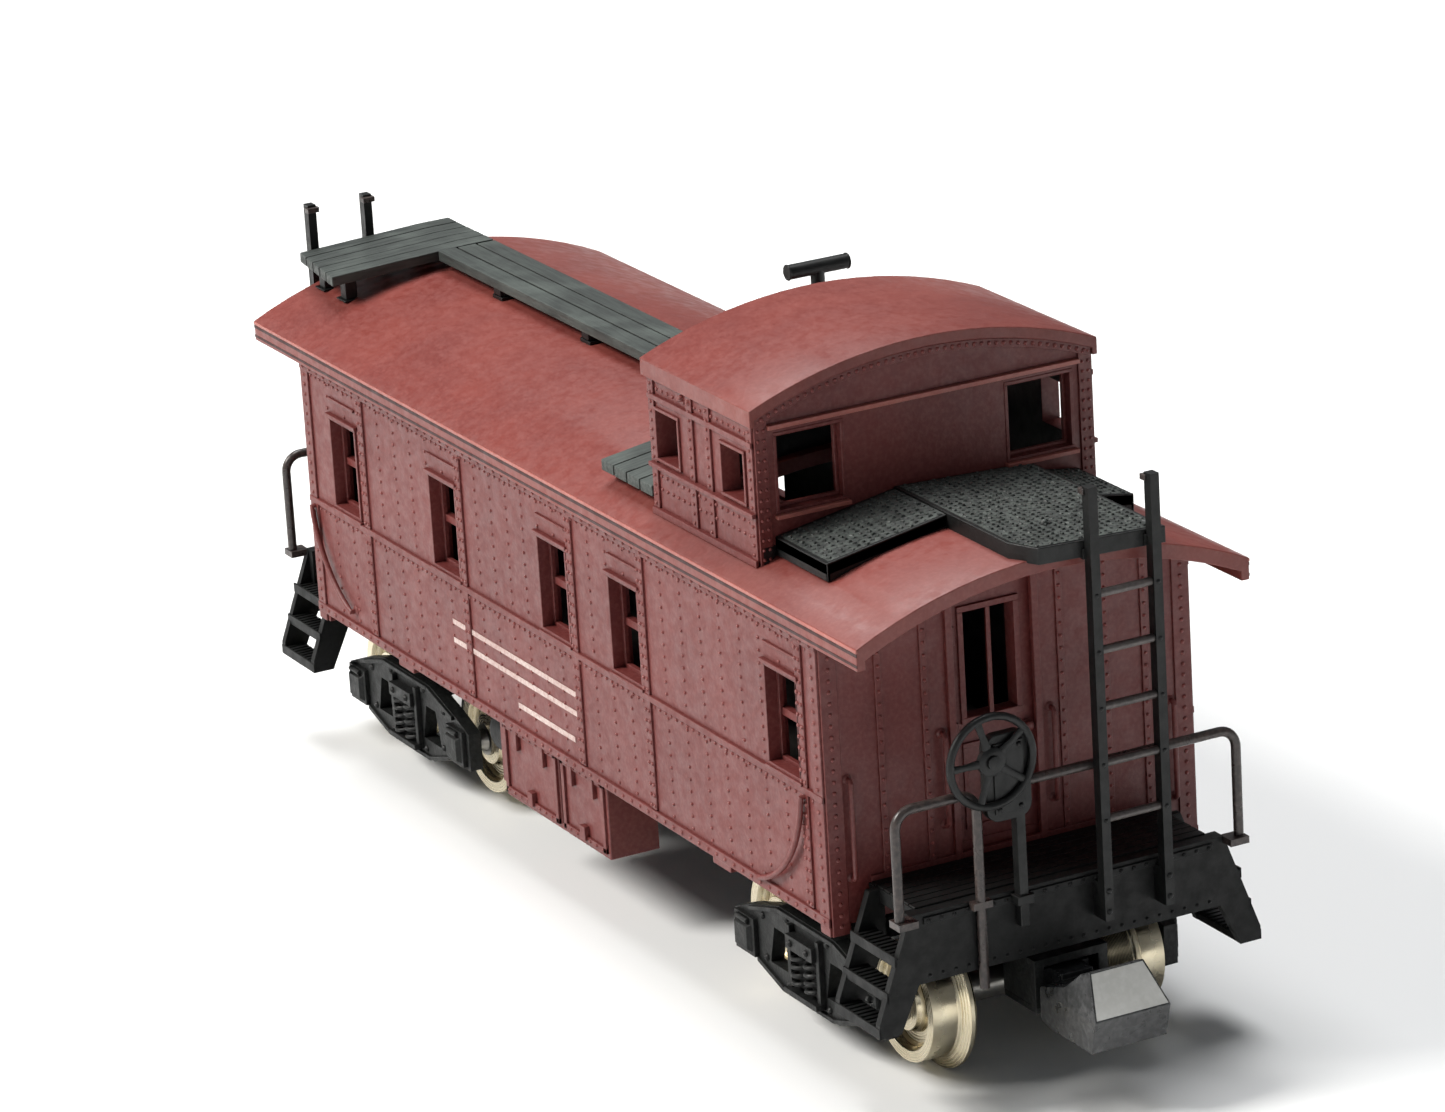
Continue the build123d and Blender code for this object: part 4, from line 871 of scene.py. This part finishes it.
def front_walk():
    """Studded board in front of the cupola, and its landing out to the ladder."""
    x0, x1 = front_lo.x, front_lo.x + 4.4
    span = front_hi.y
    landing_y = (-1.65, 5.0)
    end_x = front_hi.x
    mid = front_hi.z
    fall = 0.3
    corner_x, corner_y = 1.3, 0.65
    board_at = board_height(span)

    def landing_height(y):
        return mid - fall * (y - landing_y[0]) / (landing_y[1] - landing_y[0])

    def landing_outline(inset):
        return [(x0 + inset, landing_y[0] + inset), (end_x - corner_x, landing_y[0] + inset),
                (end_x - inset, landing_y[0] + corner_y), (end_x - inset, landing_y[1] - inset),
                (x0 + inset, landing_y[1] - inset)]

    def landing_slab(piece, inset, above, below):
        outline = landing_outline(inset)
        piece.solid([[(x, y, landing_height(y) + lift) for x, y in outline] for lift in (-below, above)])

    # The board lies under the landing where that is the higher of the two.
    base = Piece("front_walk_board")
    for y_range in ((-span, landing_y[0]), (2.1, span)):
        lateral_board(base, (x0, x1), y_range, (x0, x1 - 0.16), board_at)
    landing_slab(base, 0.0, 0.0, 0.72)
    rim = 0.16
    for side in (-1, 1):
        z = board_at(span)
        base.block((x0, x1), (side * (span - rim), side * span), (z - 0.78, z + 0.02))
    base.finish(black, "walk_plastic", edge=0.04, replaces=("roofwalk_front",))

    def on_landing(x, y):
        return y > landing_y[0] + 0.15 + corner_y * (x - end_x + corner_x) / corner_x

    studs = Piece("front_walk_studs")
    pebbles(studs, (x0 + 0.2, x1 - 0.2), (0.2 - span, landing_y[0]), board_at)
    pebbles(studs, (x0 + 0.2, end_x - 0.2), (landing_y[0] + 0.2, landing_y[1] - 0.2), landing_height,
            keep=on_landing)
    pebbles(studs, (x0 + 0.2, x1 - 0.2), (landing_y[1] + 0.1, span - 0.2), board_at)
    studs.finish(grating, "walk_plastic")

    plate = Piece("front_walk_plate")
    inset, above, below = 0.17, 0.02, 0.1
    for y_range in ((inset - span, landing_y[0]), (landing_y[1], span - inset)):
        outline = [(x0 + inset, y, board_at(y) + above) for y in y_range]
        outline += [(x0 + inset, y, board_at(y) - below) for y in reversed(y_range)]
        plate.prism(outline, (x1 - x0 - 2 * inset, 0, 0))
    landing_slab(plate, inset, above, below)
    plate.dome((27.0, 0.9, landing_height(0.9)), (0, 0, 1), 0.17, 0.22, 12)
    plate.finish(grating, "walk_plastic")

    under = Piece("front_walk_legs")
    legs(under, [(x, side * (span - 1)) for x in (x0 + 0.6, x1 - 0.6) for side in (-1, 1)],
         lambda y: board_at(y) - BOARD)
    legs(under, [(28.2, y) for y in (-1.0, 1.8, 4.5)], lambda y: landing_height(y) - BOARD)
    under.finish(black, "walk_plastic", edge=0.03)


def rear_walk():
    """Planked board behind the cupola, parted by the ridge walk."""
    board_at = board_height(rear_hi.y)
    planks = Piece("rear_walk_planks")
    count = 4
    depth = rear_hi.x - rear_lo.x
    for side in (-1, 1):
        for i in range(count):
            x0 = rear_lo.x + depth * i / count + 0.04
            inner, outer = side * 1.56, side * rear_hi.y
            outline = [(x0, inner, board_at(inner)), (x0, outer, board_at(outer)),
                       (x0, outer, board_at(outer) - BOARD), (x0, inner, board_at(inner) - BOARD)]
            planks.prism(outline, (depth / count - 0.08, 0, 0))
    planks.finish(walk_across, "walk_plastic", edge=0.05, replaces=("roofwalk_rear",))
    under = Piece("rear_walk_legs")
    legs(under, [(x, side * (rear_hi.y - 1)) for x in (rear_lo.x + 0.6, rear_hi.x - 0.6) for side in (-1, 1)],
         lambda y: board_at(y) - BOARD)
    for side in (-1, 1):
        for y in (2.4, 6.3):
            z = board_at(y) - BOARD
            under.block((rear_lo.x + 0.05, rear_hi.x - 0.05), (side * y - 0.25, side * y + 0.25),
                        (z - 0.25, z))
    under.finish(black, "walk_plastic", edge=0.03)


ridge_walk()
front_walk()
rear_walk()


# ---- platforms, hand brake, ladder
STEP_X = (25.6, 29.3)
STEP_LEVELS = ((7.75, 7.2), (8.1875, 5.725), (8.625, 4.25))


def dress_platform(end, turn):
    """Deck planks, step grids and side plates, and a strip and rivets on the beam."""
    planks = Piece(f"deck_planks_{end}")
    count = 7
    first = body_hi.x + 0.12
    pitch = (deck_hi.x - 0.55 - first) / count
    for i in range(count):
        start = first + pitch * i
        planks.block((start + 0.03, start + pitch - 0.03), (-6.95, 6.95), skin(DECK_TOP, 0.08))
    planks.finish(frame_black, "frame_plastic", edge=0.03, turn=turn)

    fittings = Piece(f"platform_fittings_{end}")
    for y, z in STEP_LEVELS:
        for side in (-1, 1):
            for k in range(9):
                x = STEP_X[0] + 0.45 + k * (STEP_X[1] - STEP_X[0] - 0.9) / 8
                tread_y = (side * (y - 0.48), side * (y + 0.48))
                fittings.block(about(x, 0.1), tread_y, skin(z, 0.07, 1, 0.02))
            fittings.block(STEP_X, (side * (y + 0.46), side * (y + 0.56)), (z - 0.36, z + 0.1))
    face = deck_hi.x
    strip = 0.1
    fittings.block(about(face, strip), (-6.9, 6.9), (8.42, 8.72))
    fittings.finish(frame_black, "frame_plastic", edge=0.025, turn=turn)

    rivets = Piece(f"platform_rivets_{end}")
    for x, z, radius in ((face + strip, 8.57, RIVET), (face, 6.15, 0.08)):
        rivets.rivets((x, -6.7, z), (x, 6.7, z), (1, 0, 0), 0.6, radius=radius)
    rivets.finish(frame_black, "frame_plastic", turn=turn)


def hand_brake(end, turn):
    """Five-spoked wheel on its gear housing, with fittings on the housing and at the foot of the post."""
    centre = (wheel_lo + wheel_hi) / 2
    rim = 0.17
    radius = (wheel_hi.z - wheel_lo.z) / 2 - rim
    wheel = Piece(f"brake_wheel_rim_{end}")
    wheel.ring(centre, (1, 0, 0), radius, rim)
    for t in circle(5):
        out = Vector((0, cos(pi + t), sin(pi + t)))
        aside = Vector((0, -out.z, out.y))
        rings = []
        for reach, half in ((0.25, 0.22), (radius * 0.6, 0.13), (radius, 0.16)):
            middle = centre + out * reach
            rings.append([middle + aside * half * a + Vector((0.1 * b, 0, 0)) for a, b in (
                (-1, -0.5), (-0.5, -1), (0.5, -1), (1, -0.5), (1, 0.5), (0.5, 1), (-0.5, 1), (-1, 0.5))])
        wheel.solid(rings)
    wheel.lathe(centre - Vector((0.15, 0, 0)), (1, 0, 0),
                ((0, 0.62), (0.24, 0.62), (0.32, 0.5), (0.32, 0.3), (0.46, 0.3), (0.5, 0.16)), 24)
    wheel.finish(black, "black_plastic", turn=turn, replaces=(f"brake_wheel_{end}",))

    # Beaded cover on the gear housing, with a bolt in each corner, and a collar at the foot of the post.
    stand_lo, stand_hi = box_mm("brake_stand_a")
    fittings = Piece(f"brake_fittings_{end}")
    front = stand_hi.x
    low, high = (stand_lo.y + 0.35, 12.55), (stand_hi.y - 0.35, stand_hi.z - 0.35)
    fittings.block((front - 0.1, front + 0.07), (low[0], high[0]), (low[1], high[1]))
    for y in (low[0] + 0.2, high[0] - 0.2):
        for z in (low[1] + 0.2, high[1] - 0.2):
            fittings.dome((front + 0.07, y, z), (1, 0, 0), 0.12, 0.1, 8)
    fittings.block((deck_hi.x, front + 0.12), (-2.78, -2.02), (DECK_TOP - 0.5, DECK_TOP - 0.1))
    fittings.finish(black, "black_plastic", edge=0.03, turn=turn)


def dress_ladder(end, out):
    """Bolts, roof brackets and caps of one ladder. out is +1 at end a and -1 at end b."""
    ladder_lo, ladder_hi = box_mm(f"ladder_{end}")
    outer, inner = (ladder_hi.x, ladder_lo.x) if out > 0 else (ladder_lo.x, ladder_hi.x)
    rail_side = inner + out * 0.42
    fittings = Piece(f"ladder_fittings_{end}")
    brackets = Piece(f"ladder_brackets_{end}")
    rungs = Piece(f"ladder_rungs_{end}")
    stile = 0.21
    rung_heights = [21.0 - 2.43 * k for k in range(5)]
    for y in (ladder_lo.y + stile, ladder_hi.y - stile):
        for z in (8.2, 7.3):
            fittings.dome((outer, y, z), (out, 0, 0), 0.14, 0.07, 8)
        fittings.block((rail_side - out * 0.3, rail_side + out * 0.1), about(y, 0.33), (22.5, 22.95))
        brackets.block(about(rail_side, out * 0.2), about(y, 0.3),
                       (ladder_hi.z - 0.35, ladder_hi.z - 0.1))
        for z in rung_heights:
            fittings.dome((outer, y, z), (out, 0, 0), 0.1, 0.06, 8)
    # Rungs sleeved in light grey as a painted highlight.
    middle_x = outer - out * 0.25
    for z in rung_heights:
        rungs.tube([(middle_x, ladder_lo.y + 2 * stile, z), (middle_x, ladder_hi.y - 2 * stile, z)], 0.18, 14)
    rungs.finish(rung_grey, "black_plastic")
    fittings.finish(black, "black_plastic", edge=0.02)
    brackets.finish(rail_brown, "black_plastic", edge=0.03)


def dress_coupler(end, turn):
    """Sloping face of the coupler head, from its crest down to the nose, painted near white as a reflection.
    """
    plate = Piece(f"coupler_face_{end}")
    crest, nose = (32.83, 6.02), (33.95, 4.45)
    heading = Vector((nose[0] - crest[0], 0, nose[1] - crest[1])).normalized()
    push = Vector((-heading.z, 0, heading.x)) * 0.04
    outline = [(crest[0], -1.22, crest[1]), (crest[0], 1.22, crest[1]), (nose[0], 1.7, nose[1]),
               (nose[0], -1.7, nose[1])]
    sunk = [Vector(point) - push * 2 for point in outline]
    plate.prism(sunk, push * 2.6)
    plate.finish(coupler_reflection, "coupler_plastic", body=f"coupler_arm_{end}", turn=turn)


# ---- trucks
def spiral(centre, radius, wire, height, turns):
    """Points of an upright coil spring."""
    steps = int(turns * 16)
    return [
        (centre[0] + radius * cos(2 * pi * turns * i / steps),
         centre[1] + radius * sin(2 * pi * turns * i / steps),
         centre[2] + wire + (height - 2 * wire) * i / steps) for i in range(steps + 1)]


def dress_truck(end, turn):
    """Journal boxes, springs, ribs, bolts and brake shoes of one truck."""
    body = f"truck_{end}"
    face = 7.1

    castings = Piece(f"truck_castings_{end}")
    for side in (-1, 1):
        def out(distance):
            return side * (face + distance)
        for axle in (-1, 1):
            x = TRUCK_X + axle * HALF_WHEELBASE
            castings.block(about(x, 0.85), (out(-0.1), out(0.22)), (AXLE_Z - 0.85, AXLE_Z + 0.9))
            lid = [(x - 0.68, out(0.2), AXLE_Z - 0.68), (x + 0.68, out(0.2), AXLE_Z - 0.68),
                   (x + 0.68, out(0.2), AXLE_Z + 0.62), (x - 0.68, out(0.2), AXLE_Z + 0.62)]
            front = [(x + (px - x) * 0.8, out(0.42), AXLE_Z + (pz - AXLE_Z) * 0.8) for px, _, pz in lid]
            castings.solid([lid, front])
            castings.lathe((x - 0.5, out(0.3), AXLE_Z + 0.74), (1, 0, 0), ((0, 0.13), (1.0, 0.13)), 10)
        # Ribs along the top and bottom chords: level in the middle, sloping at either side.
        half = 0.1
        for knee_x, knee_z, tip_x, tip_z in ((2.4, 5.15, 5.0, 4.42), (2.2, 1.62, 4.4, 2.28)):
            knees = ((-knee_x, knee_z), (knee_x, knee_z))
            for (x0, z0), (x1, z1) in (knees, ((-tip_x, tip_z), knees[0]), (knees[1], (tip_x, tip_z))):
                outline = [(TRUCK_X + x, out(-0.05), z) for x, z in (
                    (x0, z0 - half), (x1, z1 - half), (x1, z1 + half), (x0, z0 + half))]
                castings.prism(outline, (0, side * 0.2, 0))
        # Column guides, spring seat and cap either side of the springs.
        for x in about(TRUCK_X, 1.25):
            castings.block(about(x, 0.14), (out(-0.05), out(0.26)), (1.9, 4.9))
        castings.block(about(TRUCK_X, 1.4), (out(-0.05), out(0.5)), (1.85, 2.1))
        castings.block(about(TRUCK_X, 1.15), (out(-0.05), out(0.46)), (3.95, 4.6))
    castings.finish(truck_black, "truck_plastic", body=body, edge=0.03, turn=turn)

    springs = Piece(f"truck_springs_{end}")
    for side in (-1, 1):
        for x in about(TRUCK_X, 0.56):
            line = spiral((x, side * (face + 0.02), 2.1), 0.4, 0.09, 1.86, 4.5)
            springs.tube(line, 0.1, 8)
    springs.finish(truck_black, "truck_plastic", body=body, turn=turn)

    bolts = Piece(f"truck_bolts_{end}")
    for side in (-1, 1):
        normal = (0, side, 0)
        for x, z, lift in ((3.9, 4.4, 0), (3.7, 2.55, 0), (1.75, 4.9, 0), (1.75, 1.95, 0), (0.7, 4.28, 0.46)):
            for way in (-1, 1):
                bolts.dome((TRUCK_X + way * x, side * (face + lift), z), normal, 0.17, 0.14, 6)
    bolts.finish(truck_black, "truck_plastic", body=body, turn=turn)

    # The shoes stand clear of the treads. The rod across each pair dips about 0.1 mm into the flanges.
    shoes = Piece(f"brake_shoes_{end}")
    tread = 2.62
    for axle in (-1, 1):
        for side in (-1, 1):
            rows = []
            cx = TRUCK_X + axle * HALF_WHEELBASE
            inner, outer = tread + 0.14, tread + 0.46
            for angle in (radians(-24 + 6 * i) for i in range(9)):
                rows.append([(cx - axle * r * cos(angle), side * w, AXLE_Z + r * sin(angle))
                             for r, w in ((inner, 4.5), (inner, 5.45), (outer, 5.45), (outer, 4.5))])
            shoes.solid(rows)
            x = TRUCK_X + axle * (HALF_WHEELBASE - tread - 0.6)
            shoes.block(about(x, 0.13), (side * 4.85, side * 5.1), (2.6, 4.5))
    for axle in (-1, 1):
        x = TRUCK_X + axle * (HALF_WHEELBASE - tread - 0.62)
        shoes.tube([(x, -5.2, 3.0), (x, 5.2, 3.0)], 0.18)
    shoes.finish(truck_black, "truck_plastic", body=body, edge=0.02, turn=turn)

    screws = Piece(f"pocket_screws_{end}")
    for x in (cover_lo.x + 0.45, cover_hi.x - 0.45):
        screws.dome((x, 0, cover_lo.z), (0, 0, -1), 0.32, 0.14, 14)
    screws.finish(truck_black, "truck_plastic", body=body, turn=turn)


# ---- battery boxes and brake gear
def dress_battery_box(label, side):
    """Two framed doors with hinges and a hasp."""
    face = side * box_hi.y
    depth = skin(face, 0.12, side)
    low, high = box_lo.z + 0.25, SIDE_SILL - 0.2
    trim = Piece(f"battery_doors_{label}")
    middle = -0.57
    for x0, x1 in ((box_lo.x + 0.2, middle - 0.25), (middle + 0.25, box_hi.x - 0.2)):
        rim = 0.28
        for x, z in (((x0, x1), (low, low + rim)), ((x0, x1), (high - rim, high)),
                     ((x0, x0 + rim), (low, high)), ((x1 - rim, x1), (low, high))):
            trim.block(x, depth, z)
        for share in (0.25, 0.75):
            x = x0 + (x1 - x0) * share
            trim.block(about(x, 0.2), (face, face + side * 0.2), (high - 1.0, high + 0.1))
        hasp = (x0 + x1) / 2
        trim.block(about(hasp, 0.25), (face, face + side * 0.24), (low + 0.1, low + 0.75))
    # Hanger bracket at the end nearest the plain end.
    trim.block((box_lo.x - 0.5, box_lo.x + 0.1), skin(face, -0.1, side, 0.9), (box_lo.z + 0.5, SIDE_SILL))
    trim.finish(red, "red_plastic", edge=0.03)
    rivets = Piece(f"battery_rivets_{label}")
    for z in (low + 0.14, high - 0.14):
        start, stop = ((x, depth[1], z) for x in (box_lo.x + 0.5, box_hi.x - 0.5))
        rivets.rivets(start, stop, (0, side, 0), 0.62, lambda place: abs(place.x - middle) > 0.4, 0.08)
    rivets.finish(rivet_highlight_red, "red_plastic")


def underfloor():
    """Train pipe, brake rods and levers below the floor."""
    gear = Piece("brake_rigging")
    for points, radius in (
            ([(-10.2, 3.4, 6.4), (-9.0, 3.4, 6.4), (-8.4, 2.8, 6.4), (8.4, 2.8, 6.4), (9.0, 3.4, 6.4),
              (10.2, 3.4, 6.4)], 0.24),
            ([(6.9, 5.6, 5.3), (3.6, 5.4, 5.3), (-0.5, 2.6, 5.0)], 0.16),
            ([(-10.2, 2.1, 4.9), (-0.5, 2.3, 4.9)], 0.13),
            ([(10.2, -2.1, 4.9), (0.8, -2.3, 4.9)], 0.13),
            ([(-10.7, -6.0, 5.1), (-10.6, -5.0, 5.6), (-10.4, -3.4, 6.3), (-10.2, -1.2, 6.3)], 0.18)):
        gear.tube(points, radius)
    gear.block((-0.75, -0.3), (-3.0, 3.2), (4.82, 5.02))
    gear.block((0.5, 0.95), (-3.4, 2.2), (5.14, 5.34))
    for x, y in ((-0.52, 2.6), (-0.52, -2.7), (0.72, -3.1), (0.72, 1.9)):
        gear.lathe((x, y, 4.7), (0, 0, 1), ((0, 0.28), (0.9, 0.28)), 12)
    for x in (-9.6, -4.0, 5.0, 9.6):
        gear.block(about(x, 0.2), (1.4, 4.1), (6.62, 6.95))
    gear.finish(frame_black, "frame_plastic")

    sills = Piece("floor_framing")
    for x in (-11.6, -4.5, 4.5, 11.6):
        for side in (-1, 1):
            sills.block(about(x, 0.18), (side * 1.5, side * 7.7), (6.3, 6.95))
            sills.block(about(x, 0.38), (side * 1.5, side * 7.7), (6.2, 6.34))
    for side in (-1, 1):
        sills.block((-15.4, 15.4), (side * 1.42, side * 1.95), (5.55, 5.72))
        sills.block((-15.4, 15.4), (side * 7.25, side * 7.6), (6.35, 6.95))
    sills.finish(frame_black, "frame_plastic", edge=0.03)


def dress_jack():
    """Flashing of the smokejack and the thin rims of its open head."""
    jack_lo, jack_hi = box_mm("smokejack")
    x, y = (jack_lo.x + jack_hi.x) / 2, (jack_lo.y + jack_hi.y) / 2
    trim = Piece("smokejack_trim")
    base = roof_top(y)
    trim.lathe((x, y, base - 0.2), (0, 0, 1), ((0, 0.82), (0.36, 0.82), (0.52, 0.66), (0.62, 0.4)), 24)
    for side in (-1, 1):
        trim.ring((x, y + side * 1.5, jack_hi.z - 0.34), (0, 1, 0), 0.33, 0.045, 24, 8)
    trim.finish(black, "black_plastic")


for label, side in SIDES:
    dress_battery_box(label, side)
underfloor()
dress_jack()
for end, turn in (("a", None), ("b", HALF_TURN)):
    dress_end(end, turn)
    dress_platform(end, turn)
    hand_brake(end, turn)
    dress_ladder(end, 1 if turn is None else -1)
    dress_coupler(end, turn)
    dress_truck(end, turn)


# ---- floor, light and camera
def studio():
    """Plain pale floor and soft light, stronger from the far left."""
    bpy.ops.mesh.primitive_plane_add(size=6)
    floor = bpy.context.object
    floor.name = "studio_floor"
    look = Look("pale_floor")
    tone = look.mix(look.noise(3.0), srgb(232, 233, 233), srgb(226, 228, 228))
    look.feed(look.shader, {"Base Color": tone, "Roughness": 0.7})
    floor.data.materials.append(look.material)
    floor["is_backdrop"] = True

    world = bpy.data.worlds.new("studio")
    bpy.context.scene.world = world
    world.use_nodes = True
    sky = world.node_tree.nodes["Background"]
    sky.inputs["Color"].default_value = (0.93, 0.96, 1.0, 1)
    sky.inputs["Strength"].default_value = 0.16

    def lamp(name, place, energy, size, colour):
        data = bpy.data.lights.new(name, "AREA")
        data.shape = "DISK"
        data.size = size
        data.energy = energy
        data.color = colour
        light = bpy.data.objects.new(name, data)
        light.location = place
        light.rotation_mode = "QUATERNION"
        light.rotation_quaternion = (-Vector(place)).to_track_quat("-Z", "Y")
        bpy.context.scene.collection.objects.link(light)

    lamp("key", (-0.30, -0.62, 0.62), 11.5, 0.35, (1.0, 0.97, 0.93))
    lamp("top", (-0.22, 0.10, 0.95), 9.5, 0.60, (1.0, 1.0, 1.0))
    lamp("fill", (0.75, -0.25, 0.30), 0.2, 0.40, (0.9, 0.95, 1.0))


CAMERA_AZIMUTH = radians(62.9)
CAMERA_ELEVATION = radians(18.6)
CAMERA_DISTANCE = 0.2824
CAMERA_ROLL = radians(-3.5)
CAMERA_LENS = 158


def place_camera():
    """Camera at the viewing angle and distance, aimed at the middle of the car."""
    lo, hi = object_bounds()
    centre = (lo + hi) / 2
    level = cos(CAMERA_ELEVATION)
    back = Vector((sin(CAMERA_AZIMUTH) * level, -cos(CAMERA_AZIMUTH) * level,
                   sin(CAMERA_ELEVATION)))
    data = bpy.data.cameras.new("camera")
    data.lens = CAMERA_LENS
    data.clip_start = 0.01
    camera = bpy.data.objects.new("camera", data)
    camera.location = centre + back * CAMERA_DISTANCE
    camera.rotation_mode = "QUATERNION"
    look = (-back).to_track_quat("-Z", "Y")
    camera.rotation_quaternion = look @ Matrix.Rotation(CAMERA_ROLL, 3, "Z").to_quaternion()
    bpy.context.scene.collection.objects.link(camera)
    bpy.context.scene.camera = camera


studio()
place_camera()
bpy.context.scene.view_settings.view_transform = "Standard"
